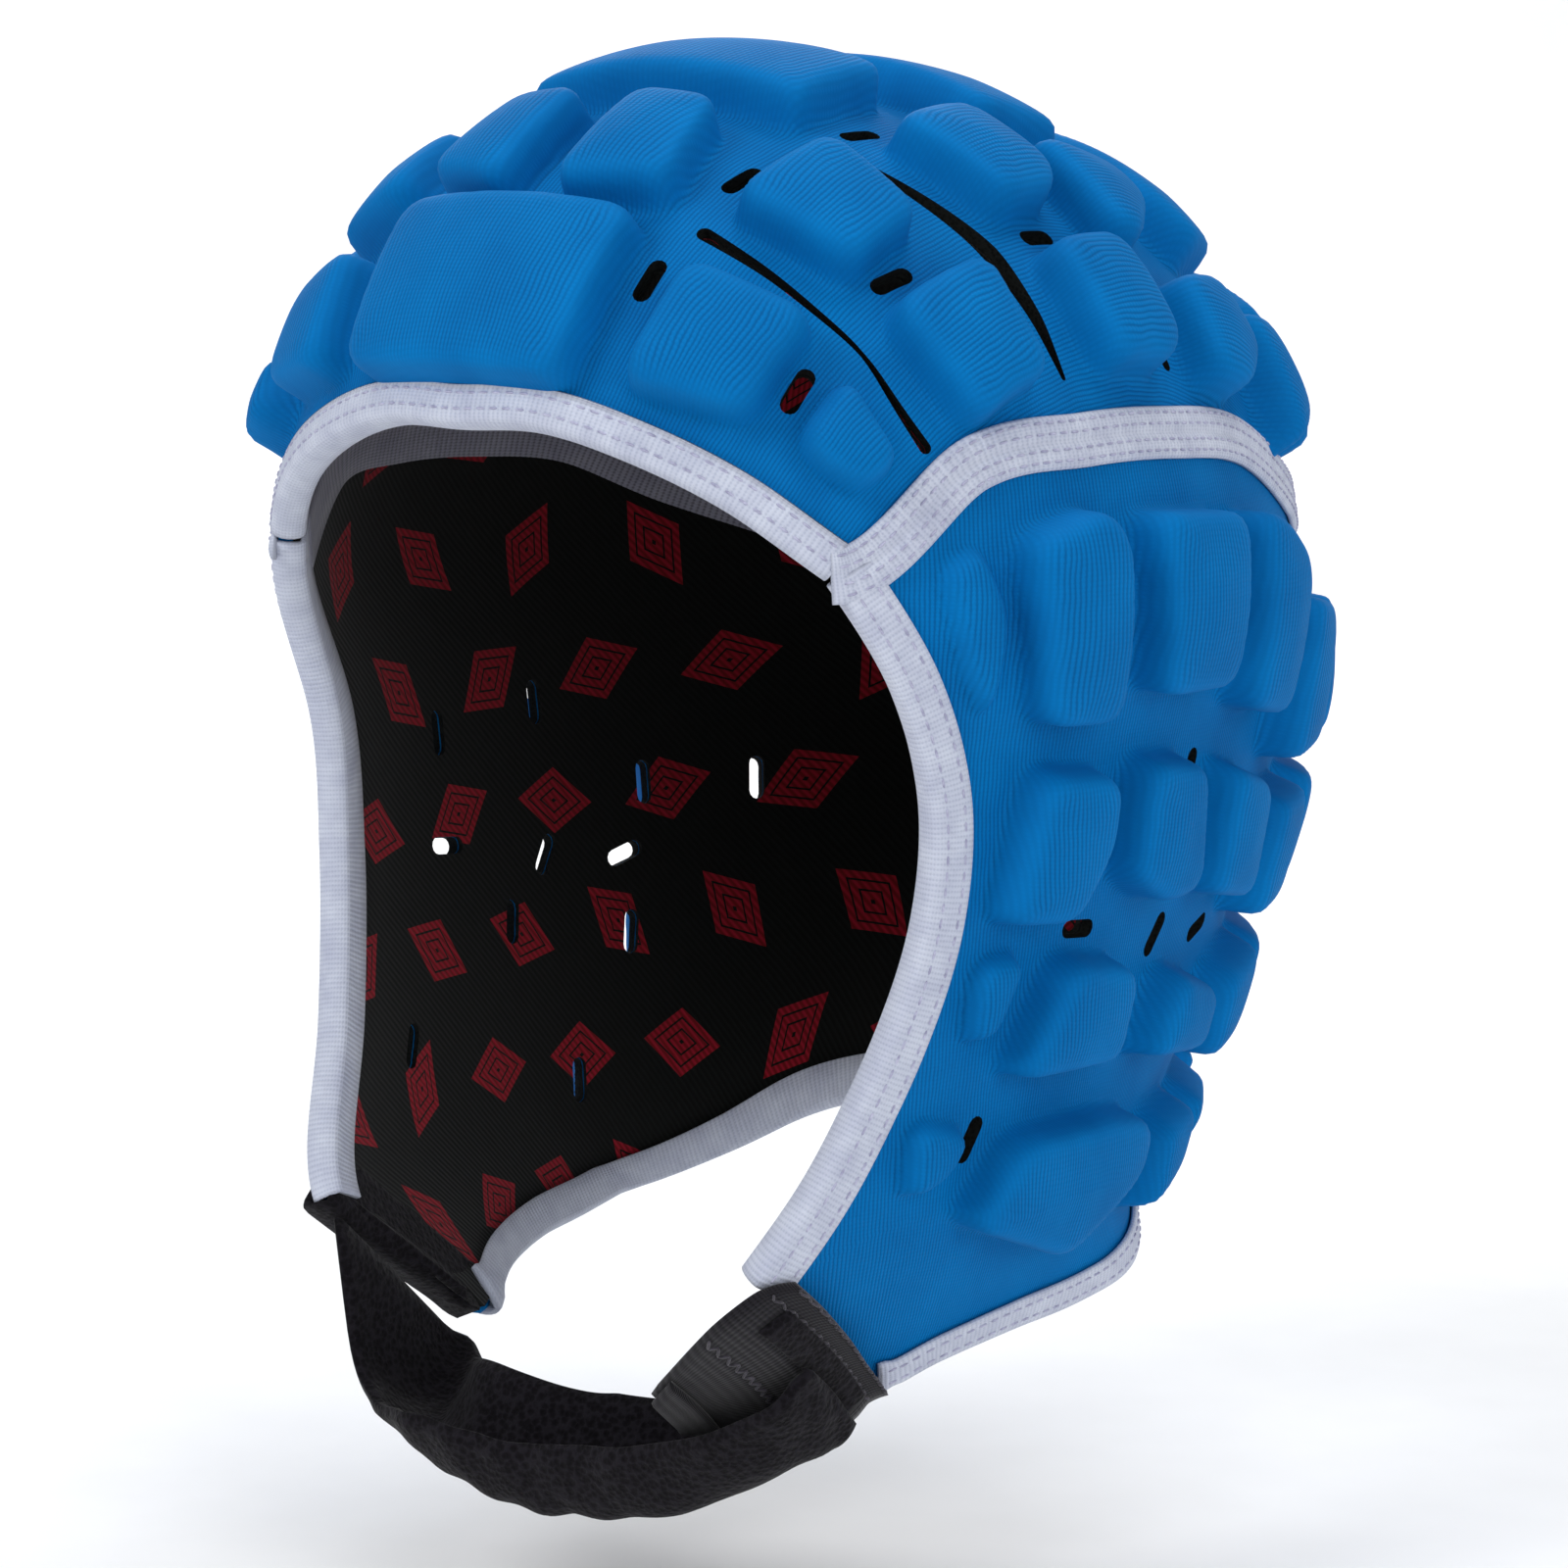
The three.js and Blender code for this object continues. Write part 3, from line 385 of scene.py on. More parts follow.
CROWN_SLOTS = [
    [[43, 18.5], [36, 18]], [[35, 38.5], [28, 37.5]], [[54, 19.5], [61, 21]], [[51, 40], [58, 42]],
    [[76, 23], [79, 23.5]], [[85, 45], [92, 45]], [[110, 49.5], [116, 47]],
]
CROWN_SLITS = [
    [[31, 53, 2.2], [41, 43, 0.9], [45.5, 30, 1.8], [47.6, 21, 2.8]],
    [[68.5, 62, 1], [72.5, 55, 3.2], [74.5, 45.5, 5.0], [72, 34, 3.0], [71, 26, 0.9]],
    [[113, 61, 2.4], [107.5, 51.5, 0.9]],
    [[163, 40.5, 2.2], [152, 37, 0.9]],
]
SLOT_WIDTH, SLOT_LENGTH, MOST_GROWN = 3.4, 9.0, 1.35
PUNCH_IN, PUNCH_OUT = 8, 14


def path_frame(path):
    """The directions along a line on the form and across it."""
    run = unit(np.gradient(path, axis=0))
    return run, unit(np.cross(form_normal(path), run))


def cutter(name, stations, points):
    """A punch of changing width along some stations, with round ends, square to the form."""
    stations = np.array(stations, float)
    t = np.linspace(0, len(stations) - 1, 9 * (len(stations) - 1) + 1)
    table = np.stack([np.interp(t, range(len(stations)), stations[:, k]) for k in range(3)], 1)
    line = points(table[:, 0], table[:, 1])
    if len(stations) > 2:
        for _ in range(6):
            line[1:-1] = (line[:-2] + 2 * line[1:-1] + line[2:]) / 4
    run, across = path_frame(line)
    half = table[:, 2:] / 2
    left, right_side = line + across * half, line - across * half
    caps = []
    for k, way in ((-1, 1), (0, -1)):
        caps.append([line[k] + across[k] * half[k] * np.sin(g) + way * run[k] * half[k] * np.cos(g)
                     for g in np.linspace(np.pi / 2, -np.pi / 2, 7)[1:-1]])
    loop = np.concatenate([left, caps[0], right_side[::-1], caps[1][::-1]])
    up = form_normal(loop)
    count = len(loop)
    vertices = np.concatenate([loop - up * PUNCH_IN, loop + up * PUNCH_OUT])
    faces = [[k, (k + 1) % count, count + (k + 1) % count, count + k] for k in range(count)]
    faces += [list(range(count))[::-1], [count + k for k in range(count)]]
    return new_object(name, vertices, faces)


def punch(pieces, cutters):
    """Cuts the punches through some pieces, and takes the punches away. The walls of the
    cuts have no place on the cloth, and get the second material."""
    joined = bmesh.new()
    for tool in cutters:
        joined.from_mesh(tool.data)
    mesh = bpy.data.meshes.new("punches")
    joined.to_mesh(mesh)
    joined.free()
    tool = add_object("punches", mesh)
    for piece in pieces:
        modifier = piece.modifiers.new("punch", "BOOLEAN")
        modifier.object = tool
        modifier.operation = "DIFFERENCE"
        modifier.solver = "MANIFOLD"
        bpy.context.view_layer.update()
        cut = bpy.data.meshes.new_from_object(piece.evaluated_get(bpy.context.evaluated_depsgraph_get()))
        piece.modifiers.clear()
        piece.data = cut
        cut.materials.clear()
        uvs = np.zeros(2 * len(cut.loops), np.float32)
        cut.uv_layers["cloth_mm"].data.foreach_get("uv", uvs)
        starts = np.zeros(len(cut.polygons), np.int32)
        cut.polygons.foreach_get("loop_start", starts)
        off_cloth = np.abs(uvs.reshape(-1, 2)).sum(1) < 1e-6
        walls = off_cloth[starts] & off_cloth[starts + 1]
        cut.polygons.foreach_set("material_index", walls.astype(np.int32))
        cut.shade_smooth()
        cut.set_sharp_from_angle(angle=math.radians(48))
    for gone in [tool] + cutters:
        bpy.data.objects.remove(gone)


def slot_rows(slots, points):
    """Every slot is punched with one tool, so it is as long as the tool, about its middle."""
    rows = []
    for start, end in slots:
        a, b = points(*np.array([start, end], float).T)
        grow = min(MOST_GROWN, (SLOT_LENGTH - SLOT_WIDTH) / max(np.linalg.norm(b - a), 1))
        middle = (np.array(start) + np.array(end)) / 2
        half = (np.array(end) - np.array(start)) / 2 * grow
        rows.append([[*(middle - half), SLOT_WIDTH], [*(middle + half), SLOT_WIDTH]])
    return rows


surface, crown_uv = crown_grid(122)
crown_outer, crown_stretch = raise_pads(surface, form_normal(surface), crown_angles(surface),
                                        MIDDLE_PADS + mirror_rows(CROWN_PADS), crown_points, True)
# The columns crowd together at the pole, so the rows there are evened out round it.
POLE_ROWS, POLE_SLOPE = 10, 0.6
for row in range(1, POLE_ROWS):
    spread = int(CROWN_COLUMNS / (2 * math.pi * (row + 2)))
    crown_outer[row] = np.mean([np.roll(crown_outer[row], k, 0) for k in range(-spread, spread + 1)], 0)
crown_outer[0] = crown_outer[1] * POLE_SLOPE + crown_outer[1].mean(0) * (1 - POLE_SLOPE)
low_surface, low_uv = crown_grid(13)
low_normal = form_normal(low_surface)
crown_cover = layered("crown_cover", crown_outer, low_surface - low_normal * COVER,
                      (crown_uv, low_uv), True, crown_stretch)
crown_lining = layered("crown_lining_cloth", low_surface - low_normal * (COVER + LAYER_GAP),
                       low_surface - low_normal * (COVER + LAYER_GAP + LINING), (low_uv, low_uv), True)
crown_cutters = [cutter(f"punch_{k}", row, crown_points) for k, row in enumerate(
    slot_rows(mirror_rows(CROWN_SLOTS), crown_points) + mirror_rows(CROWN_SLITS))]
punch([crown_cover, crown_lining], crown_cutters)
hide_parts("crown_panel")


def linear(hex_colour):
    """An sRGB hex colour as linear values."""
    channels = [int(hex_colour[k:k + 2], 16) / 255 for k in (1, 3, 5)]
    return [c / 12.92 if c <= 0.04045 else ((c + 0.055) / 1.055) ** 2.4 for c in channels] + [1.0]


def add(tree, kind, inputs=(), stops=(), **settings):
    """Adds one node with its settings and colour stops, and fills its inputs with values or links."""
    made = tree.nodes.new("ShaderNode" + kind)
    for name, value in settings.items():
        setattr(made, name, value)
    for name, value in dict(inputs).items():
        if isinstance(value, bpy.types.NodeSocket):
            tree.links.new(value, made.inputs[name])
        else:
            made.inputs[name].default_value = value
    for k, (place, colour) in enumerate(stops):
        elements = made.color_ramp.elements
        element = elements[k] if k < len(elements) else elements.new(place)
        element.position = place
        element.color = linear(colour)
    return made


def start_material(name, roughness, sheen=0.0, on_cloth=False):
    """A new material, and where a point is: on its cloth in mm, or in its object in metres."""
    material = bpy.data.materials.new(name)
    material.use_nodes = True
    tree = material.node_tree
    shader = tree.nodes["Principled BSDF"]
    shader.inputs["Roughness"].default_value = roughness
    shader.inputs["IOR"].default_value = 1.5
    shader.inputs["Specular IOR Level"].default_value = 0.06
    shader.inputs["Sheen Weight"].default_value = sheen
    if on_cloth:
        return material, tree, shader, add(tree, "UVMap", uv_map="cloth_mm").outputs["UV"]
    return material, tree, shader, add(tree, "TexCoord").outputs["Object"]


def finish_material(tree, shader, colour, height, strength, depth):
    """Gives a material its colour, and a relief of some depth in metres."""
    bump = add(tree, "Bump", {"Height": height, "Strength": strength, "Distance": depth})
    tree.links.new(colour, shader.inputs["Base Color"])
    tree.links.new(bump.outputs["Normal"], shader.inputs["Normal"])


# Polyester jersey, ribbed: pale threads stand up in fine wales with darker valleys, and the
# surface is matt with a soft sheen. Wales are 0.9 mm apart and courses 0.75 mm, which is
# about a third coarser than the real knit so that they show.
def ribbed_knit():
    material, tree, shader, place = start_material("polyester_ribbed_knit", 0.75, 0.02, True)
    drift = add(tree, "TexNoise", {"Vector": place, "Scale": 0.09, "Detail": 2.0}).outputs["Color"]
    drift = add(tree, "VectorMath", {0: drift, 1: (1.4, 1.4, 0)}, operation="MULTIPLY").outputs[0]
    bent = add(tree, "VectorMath", {0: place, 1: drift}, operation="ADD").outputs[0]
    wales = add(tree, "TexWave", {"Vector": bent, "Scale": 0.349, "Distortion": 0.0},
                wave_type="BANDS", bands_direction="X").outputs["Fac"]
    courses = add(tree, "TexWave", {"Vector": bent, "Scale": 0.419, "Distortion": 0.0},
                  wave_type="BANDS", bands_direction="Y").outputs["Fac"]
    thread = add(tree, "Math", {0: wales, 1: courses}, operation="MULTIPLY").outputs[0]
    height = add(tree, "Math", {0: wales, 1: thread}, operation="ADD").outputs[0]
    stretch = add(tree, "Attribute", attribute_name="stretch").outputs["Fac"]
    height = add(tree, "Mix", {0: stretch, 2: height, 3: 0.75}).outputs[0]
    fuzz = add(tree, "TexNoise", {"Vector": place, "Scale": 2.6, "Detail": 3.0}).outputs["Fac"]
    mottle = add(tree, "TexNoise", {"Vector": place, "Scale": 0.06, "Detail": 3.0}).outputs["Fac"]
    base = add(tree, "ValToRGB", {"Fac": height},
               [(0.0, "#005b97"), (0.5, "#0069aa"), (1.0, "#0071b6")]).outputs["Color"]
    worn = add(tree, "ValToRGB", {"Fac": mottle}, [(0.3, "#e6e9ee"), (0.7, "#ffffff")])
    colour = add(tree, "Mix", {0: 1.0, 6: base, 7: worn.outputs["Color"]}, data_type="RGBA",
                 blend_type="MULTIPLY").outputs[2]
    both = add(tree, "Math", {0: fuzz, 1: 0.35, 2: height}, operation="MULTIPLY_ADD").outputs[0]
    finish_material(tree, shader, colour, both, 0.4, 0.00018)
    shader.inputs["Sheen Tint"].default_value = linear("#7fc4ff")
    return material


# Closed-cell foam, cut: dull near-black with fine pores 0.7 mm apart.
def cut_foam():
    material, tree, shader, place = start_material("cut_black_foam", 0.9)
    pores = add(tree, "TexVoronoi", {"Vector": place, "Scale": 1400.0}).outputs["Distance"]
    colour = add(tree, "ValToRGB", {"Fac": pores}, [(0.1, "#070908"), (0.6, "#161817")])
    finish_material(tree, shader, colour.outputs["Color"], pores, 0.4, 0.0002)
    return material


knit = ribbed_knit()
foam = cut_foam()
crown_cover.data.materials.append(knit)
crown_cover.data.materials.append(foam)

# --- Side covers ----------------------------------------------------------------------
# The same knit and foam over each ear, from the seam tape down to the neck: larger blocks
# by the ear and regular rows of blocks round the back, with punched slots between them.
FACE_TURNS = [46, 54, 58.5, 58, 54, 47, 38]
FACE_FALLS = [0, 0.165, 0.33, 0.5, 0.66, 0.83, 1]
NECK_FALL = [1, 0.85, 0.75, 0.69, 0.58, 0.4, 0.18, 0.06, 0]
SIDE_PADS = [
    [[57, 0.12], [62, 0.09], [66, 0.17], [64, 0.28], [60, 0.22]],
    [[66, 0.09], [77, 0.06], [81, 0.1], [81, 0.28], [69, 0.28]],
    [[84, 0.07], [103, 0.08], [102, 0.26], [86, 0.26]],
    [[105, 0.08], [112, 0.09], [120, 0.14], [119, 0.31], [107, 0.29]],
    [[123, 0.18], [137, 0.2], [136, 0.36], [124, 0.37]],
    [[140, 0.2], [157, 0.22], [156, 0.36], [140, 0.36]],
    [[160, 0.22], [172, 0.22], [172, 0.36], [159, 0.36]],
    [[70, 0.32], [83, 0.33], [83, 0.41], [77, 0.49], [65, 0.485]],
    [[87, 0.32], [100, 0.33], [104, 0.475], [95, 0.49], [86, 0.45]],
    [[107, 0.34], [119, 0.37], [121, 0.51], [106, 0.49]],
    [[124, 0.4], [137, 0.39], [136, 0.53], [124, 0.54]],
    [[140, 0.39], [157, 0.39], [156, 0.53], [140, 0.53]],
    [[160, 0.39], [172, 0.39], [172, 0.53], [160, 0.53]],
    [[64, 0.52], [72, 0.515], [68, 0.6], [63, 0.61]],
    [[77, 0.52], [92, 0.54], [91, 0.65], [68.5, 0.65]],
    [[103, 0.56], [117, 0.59], [116, 0.67], [98, 0.66]],
    [[121, 0.59], [136, 0.56], [134, 0.68], [120, 0.69]],
    [[140, 0.57], [157, 0.56], [155, 0.67], [139, 0.68]],
    [[160, 0.56], [171, 0.55], [171, 0.66], [159, 0.67]],
    [[56, 0.68], [66, 0.7], [62, 0.75], [55, 0.77]],
    [[72, 0.71], [91, 0.705], [104, 0.72], [103, 0.79], [86, 0.86], [63, 0.8]],
    [[108, 0.74], [123, 0.72], [122, 0.81], [106, 0.85]],
    [[128, 0.73], [143, 0.71], [141, 0.77], [127, 0.79]],
    [[147, 0.7], [170, 0.695], [170, 0.73], [147, 0.745]],
]
SIDE_SLOTS = [
    [[85, 0.35], [84.6, 0.41]], [[104.5, 0.32], [104.5, 0.4]], [[80, 0.505], [87, 0.51]],
    [[105, 0.515], [102, 0.555]], [[116, 0.55], [120, 0.54]], [[96, 0.57], [94, 0.64]],
    [[69, 0.69], [65.5, 0.745]], [[122, 0.44], [122, 0.49]], [[138.5, 0.44], [138.5, 0.5]],
    [[118.5, 0.61], [117.5, 0.66]], [[105.5, 0.77], [105, 0.82]],
]


def side_points(turn, share):
    return wall_points(turn, down(EAR_SEAM + (NECK_CORNER - EAR_SEAM) * share))


def neck_height(turn):
    share = (turn - NECK_TURN) / (180 - NECK_TURN)
    return down(NAPE + (NECK_CORNER - NAPE) * along(NECK_FALL, share))


def face_edge(v):
    v = np.asarray(v, float)
    upper = np.minimum(v / FACE_SHARE, 1)
    lower = np.clip((v - FACE_SHARE) / (1 - FACE_SHARE), 0, 1)
    turn = np.where(v < FACE_SHARE, along(FACE_TURNS, upper), FACE_TURN + (NECK_TURN - FACE_TURN) * lower)
    z = np.where(v < FACE_SHARE, down(TEMPLE + (FACE_CORNER - TEMPLE) * along(FACE_FALLS, upper)),
                 down(FACE_CORNER + (NECK_CORNER - FACE_CORNER) * lower))
    return turn, z


def side_surface(u, v):
    """Points of the left side panel: u from the face to the middle of the back, v down."""
    u, v = np.broadcast_arrays(np.asarray(u, float), np.asarray(v, float))
    front_turn, front_z = face_edge(v)
    seam_turn = TEMPLE_TURN + (180 - TEMPLE_TURN) * u
    neck_turn = NECK_TURN + (180 - NECK_TURN) * u
    back_z = seam_height(180) + (neck_height(180) - seam_height(180)) * v
    (turn0, z0), (turn1, z1) = face_edge(0), face_edge(1)
    corner_turn = (turn0 + (turn1 - turn0) * v) * (1 - u) + 180 * u
    corner_z = (z0 + (z1 - z0) * v) * (1 - u) + back_z * u
    turn = front_turn + (180 - front_turn) * u + seam_turn + (neck_turn - seam_turn) * v - corner_turn
    z = (front_z + (back_z - front_z) * u + seam_height(seam_turn)
         + (neck_height(neck_turn) - seam_height(seam_turn)) * v - corner_z)
    points = wall_points(turn, z - np.where(v == 0, SEAM_GAP / 2, 0))
    points[..., 0] = np.where(u == 1, SEAM_GAP / 2, points[..., 0])
    return points


def flip(points):
    return points * np.array([-1.0, 1.0, 1.0])


SIDE_KNIT_RADIUS, LINING_STEP, LOW_PADS = 92, 5, (0, 13, 19)
SIDE_ROWS = np.sort(np.unique(np.concatenate([np.linspace(0, 1, 206), [FACE_SHARE]])))
side_u, side_v = np.meshgrid(np.linspace(0, 1, 226), SIDE_ROWS)
side_base = side_surface(side_u, side_v)
side_normal = form_normal(side_base)
side_turn = np.degrees(np.arctan2(side_base[..., 0], -side_base[..., 1]))
side_share = (down(EAR_SEAM) - side_base[..., 2]) / (NECK_CORNER - EAR_SEAM)
side_outer, side_stretch = raise_pads(side_base, side_normal, (side_turn, side_share),
                                      SIDE_PADS, side_points, False, LOW_PADS)
side_uv = np.stack([np.radians(side_turn) * SIDE_KNIT_RADIUS, side_base[..., 2]], -1)
side_cutters = [cutter(f"side_punch_{k}", row, side_points) for k, row in enumerate(
    slot_rows(SIDE_SLOTS, side_points))]
sides = []
for name, node, turn_over in (("side_cover_left", "side_panel_left", False),
                              ("side_cover_right", "side_panel_right", True)):
    place = flip if turn_over else np.asarray
    cover = layered(name, place(side_outer), place(side_base - side_normal * COVER),
                    (side_uv, side_uv), False, side_stretch)
    step = (slice(None, None, LINING_STEP), slice(None, None, LINING_STEP))
    cloth = layered(name.replace("cover", "lining") + "_cloth",
                    place(side_base - side_normal * (COVER + LAYER_GAP))[step],
                    place(side_base - side_normal * (COVER + LAYER_GAP + LINING))[step],
                    (side_uv[step], side_uv[step]), False)
    tools = []
    for tool in side_cutters:
        copy = add_object(tool.name + "_copy", tool.data.copy())
        if turn_over:
            for vertex in copy.data.vertices:
                vertex.co.x = -vertex.co.x
            copy.data.flip_normals()
        tools.append(copy)
    punch([cover, cloth], tools)
    cover.data.materials.append(knit)
    cover.data.materials.append(foam)
    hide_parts(node)
    sides.append((cover, cloth))
for tool in side_cutters:
    bpy.data.objects.remove(tool)

# --- Linings --------------------------------------------------------------------------
# A thin near-black knit glued inside the foam, printed all over with small dark-red marks:
# plain nested lozenges, each turned its own way, half a step apart from row to row.


# Brushed polyester lining: dull black.
# The marks are 31 mm apart along a row and 22 mm long, and the rows are 25 mm apart.
def printed_lining():
    material, tree, shader, place = start_material("printed_black_lining", 0.8, 0.15, True)
    parts = add(tree, "SeparateXYZ", {"Vector": place})
    known = {"x": parts.outputs["X"], "y": parts.outputs["Y"]}

    def work_out(steps):
        for made, operation, *values in steps:
            inputs = {k: known.get(value, value) for k, value in enumerate(values)}
            known[made] = add(tree, "Math", inputs, operation=operation).outputs[0]

    work_out((("row", "DIVIDE", "y", 25.0), ("row_number", "FLOOR", "row"), ("column", "DIVIDE", "x", 31.0),
              ("column", "MULTIPLY_ADD", "row_number", 0.5, "column"), ("column_number", "FLOOR", "column")))
    cell = add(tree, "CombineXYZ", {"X": known["column_number"], "Y": known["row_number"]})
    known["chance"] = add(tree, "TexWhiteNoise", {"Vector": cell.outputs[0]},
                          noise_dimensions="2D").outputs["Value"]
    work_out((("angle", "MULTIPLY_ADD", "chance", 2.2, -1.1),
              ("part", "FRACT", "column"), ("across", "MULTIPLY_ADD", "part", 31.0, -15.5),
              ("part", "FRACT", "row"), ("up", "MULTIPLY_ADD", "part", 25.0, -12.5)))
    centre = add(tree, "CombineXYZ", {"X": known["across"], "Y": known["up"]}).outputs[0]
    turned = add(tree, "VectorRotate", {"Vector": centre, "Angle": known["angle"]},
                 rotation_type="Z_AXIS").outputs[0]
    turned = add(tree, "SeparateXYZ", {"Vector": turned})
    known.update(across=turned.outputs["X"], up=turned.outputs["Y"])
    work_out((("wide", "DIVIDE", "across", 11.0), ("tall", "DIVIDE", "up", 6.5),
              ("wide", "ABSOLUTE", "wide"), ("tall", "ABSOLUTE", "tall"), ("lozenge", "ADD", "wide", "tall"),
              ("rings", "MULTIPLY", "lozenge", 3.0), ("rings", "FRACT", "rings"),
              ("rings", "GREATER_THAN", "rings", 0.22), ("within", "LESS_THAN", "lozenge", 1.0),
              ("ring", "MULTIPLY", "rings", "within")))
    weave = add(tree, "TexWave", {"Vector": place, "Scale": 0.35},
                bands_direction="DIAGONAL").outputs["Fac"]
    cloth = add(tree, "ValToRGB", {"Fac": weave}, [(0.0, "#050605"), (1.0, "#0f1110")])
    mark = add(tree, "ValToRGB", {"Fac": weave}, [(0.0, "#640b12"), (1.0, "#921426")])
    colour = add(tree, "Mix", {0: known["ring"], 6: cloth.outputs["Color"],
                                         7: mark.outputs["Color"]}, data_type="RGBA").outputs[2]
    finish_material(tree, shader, colour, weave, 0.4, 0.00015)
    return material


lining = printed_lining()
for cloth, node in ((crown_lining, "crown_lining"), (sides[0][1], "side_lining_left"),
                    (sides[1][1], "side_lining_right")):
    cloth.data.materials.append(lining)
    cloth.data.materials.append(foam)
    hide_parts(node)

# --- Edge bindings --------------------------------------------------------------------
# A woven tape folded over every raw edge and sewn through, with a row of stitches near
# each side of the tape.
OVERHANG = 0.6


def lift(at, rise):
    """Points of the form straight in or out from some points, lifted off it."""
    at = wall_points(np.degrees(np.arctan2(at[:, 0], -at[:, 1])), at[:, 2])
    return at + form_normal(at) * rise


def tape_rings(path, section):
    """Rings of a tape along a path on the form. A section's points are how far they reach
    across the form from the path, and how far they stand off it."""
    _, across = path_frame(path)
    return np.stack([lift(path + across * reach, rise) for reach, rise in section], 1)


def lengths(line):
    return np.concatenate([[0], np.cumsum(np.linalg.norm(np.diff(line, axis=0), axis=1))])


def tube(name, rings):
    rows, count = rings.shape[:2]
    faces = [[r * count + k, r * count + (k + 1) % count,
              (r + 1) * count + (k + 1) % count, (r + 1) * count + k]
             for r in range(rows - 1) for k in range(count)]
    faces += [list(range(count))[::-1], [(rows - 1) * count + k for k in range(count)]]
    uvs = np.stack(np.meshgrid(lengths(rings[0]), lengths(rings[:, 0])), -1).reshape(-1, 2)
    return new_object(name, rings.reshape(-1, 3), faces, uvs)


def fold_section(binding):
    """A tape folded over the edge, its outer side swelling a little between the stitches."""
    outer, inner = TAPE_GAP, -(COVER + LAYER_GAP + LINING) - TAPE_GAP
    middle, tall = (outer + inner) / 2, (outer - inner) / 2
    section = [(binding, outer), (binding + 0.25, outer + TAPE * 0.5), (binding, outer + TAPE)]
    section += [(x, outer + TAPE + 0.22 * math.sin((binding - x) / binding * math.pi))
                for x in (5.6, 4.2, 2.8, 1.4)]
    angles = np.linspace(math.pi / 2, -math.pi / 2, 9)
    section += [(-OVERHANG * math.cos(g) - TAPE * math.cos(g), middle + (tall + TAPE) * math.sin(g))
                for g in angles]
    section += [(binding * 0.5, inner - TAPE), (binding, inner - TAPE),
                (binding + 0.2, inner - TAPE / 2), (binding, inner)]
    section += [(-OVERHANG * math.cos(g), middle + tall * math.sin(g)) for g in angles[::-1]]
    return section


def smooth_path(points, spacing=1.6, trim=(0, 0)):
    """Even points along a line of the form, with its ends drawn in."""
    length = lengths(points)
    at = np.linspace(trim[0], length[-1] - trim[1], max(4, int((length[-1] - sum(trim)) / spacing)))
    return np.stack([np.interp(at, length, points[:, k]) for k in range(3)], 1)


def stitch_row(name, path, reach, rise, pitch=2.6, length=1.7, radius=0.24):
    """A row of short raised thread stitches lying on a tape."""
    path = smooth_path(path, pitch)
    run, across = path_frame(path)
    starts, ends = (lift(path + run * way * length / 2 + across * reach, rise) for way in (-1, 1))
    return thread_pieces(name, starts[1:-1], ends[1:-1], form_normal(path[1:-1]), radius)


def thread_pieces(name, starts, ends, up, radius):
    """One closed six-sided bead of thread from each start to its end."""
    run = unit(ends - starts)
    side = unit(np.cross(run, up))
    rise = np.cross(side, run)
    rings = []
    for share, swell in ((0, 0.35), (0.2, 1), (0.8, 1), (1, 0.35)):
        for k in range(6):
            angle = k * math.pi / 3
            rings.append(starts + (ends - starts) * share
                         + (side * math.cos(angle) + rise * math.sin(angle)) * radius * swell)
    vertices = np.stack(rings, 1).reshape(-1, 3)
    one = [[ring * 6 + k, ring * 6 + (k + 1) % 6, ring * 6 + 6 + (k + 1) % 6, ring * 6 + 6 + k]
           for ring in range(3) for k in range(6)]
    one += [[5, 4, 3, 2, 1, 0], [18, 19, 20, 21, 22, 23]]
    faces = [[24 * bead + corner for corner in face] for bead in range(len(starts)) for face in one]
    return new_object(name, vertices, faces)


# Woven polyester tape: off-white with a lilac cast, matt, with fine ribs across its width
# every 1 mm, painted shade in their hollows, and slightly soiled in random patches.
def woven_tape(name, light, dark, rib=1.0):
    material, tree, shader, place = start_material(name, 0.72, 0.2, True)
    ribs = add(tree, "TexWave", {"Vector": place, "Scale": 0.314 / rib, "Distortion": 0.6,
                                           "Detail": 1.0}, bands_direction="Y").outputs["Fac"]
    weave = add(tree, "TexWave", {"Vector": place, "Scale": 0.5, "Distortion": 0.3},
                bands_direction="X").outputs["Fac"]
    soil = add(tree, "TexNoise", {"Vector": place, "Scale": 0.15, "Detail": 4.0}).outputs["Fac"]
    height = add(tree, "Math", {0: weave, 1: 0.5, 2: ribs}, operation="MULTIPLY_ADD").outputs[0]
    # Painted shade: the hollows between the ribs get the dark colour, the raised ribs the light one.
    base = add(tree, "ValToRGB", {"Fac": height}, [(0.1, dark), (0.8, light)])
    stain = add(tree, "ValToRGB", {"Fac": soil}, [(0.3, "#e8e8ee"), (0.65, "#ffffff")])
    colour = add(tree, "Mix", {0: 1.0, 6: base.outputs["Color"], 7: stain.outputs["Color"]},
                 data_type="RGBA", blend_type="MULTIPLY").outputs[2]
    finish_material(tree, shader, colour, height, 0.5, 0.0002)
    return material


# Twisted polyester thread: a soft shine, and paler and darker turns about a millimetre long.
def twisted_thread(name, roughness, dark, light):
    material, tree, shader, place = start_material(name, roughness, 0.2)
    twist = add(tree, "TexNoise", {"Vector": place, "Scale": 900.0}).outputs["Fac"]
    turns = add(tree, "ValToRGB", {"Fac": twist}, [(0.3, dark), (0.7, light)])
    tree.links.new(turns.outputs["Color"], shader.inputs["Base Color"])
    return material


# The second colour of each tape is painted shade for the hollows of its ribs.
white_tape = woven_tape("woven_lilac_white_tape", "#c6cbd9", "#b3b9ca")
white_thread = twisted_thread("twisted_polyester_thread", 0.6, "#9292ac", "#bcbcd2")


def sew(name, path, reaches, rise):
    """Rows of white stitches side by side along a tape."""
    for k, reach in enumerate(reaches):
        row = stitch_row(f"{name}_stitches_{k}", path, reach, rise)
        row.data.materials.append(white_thread)


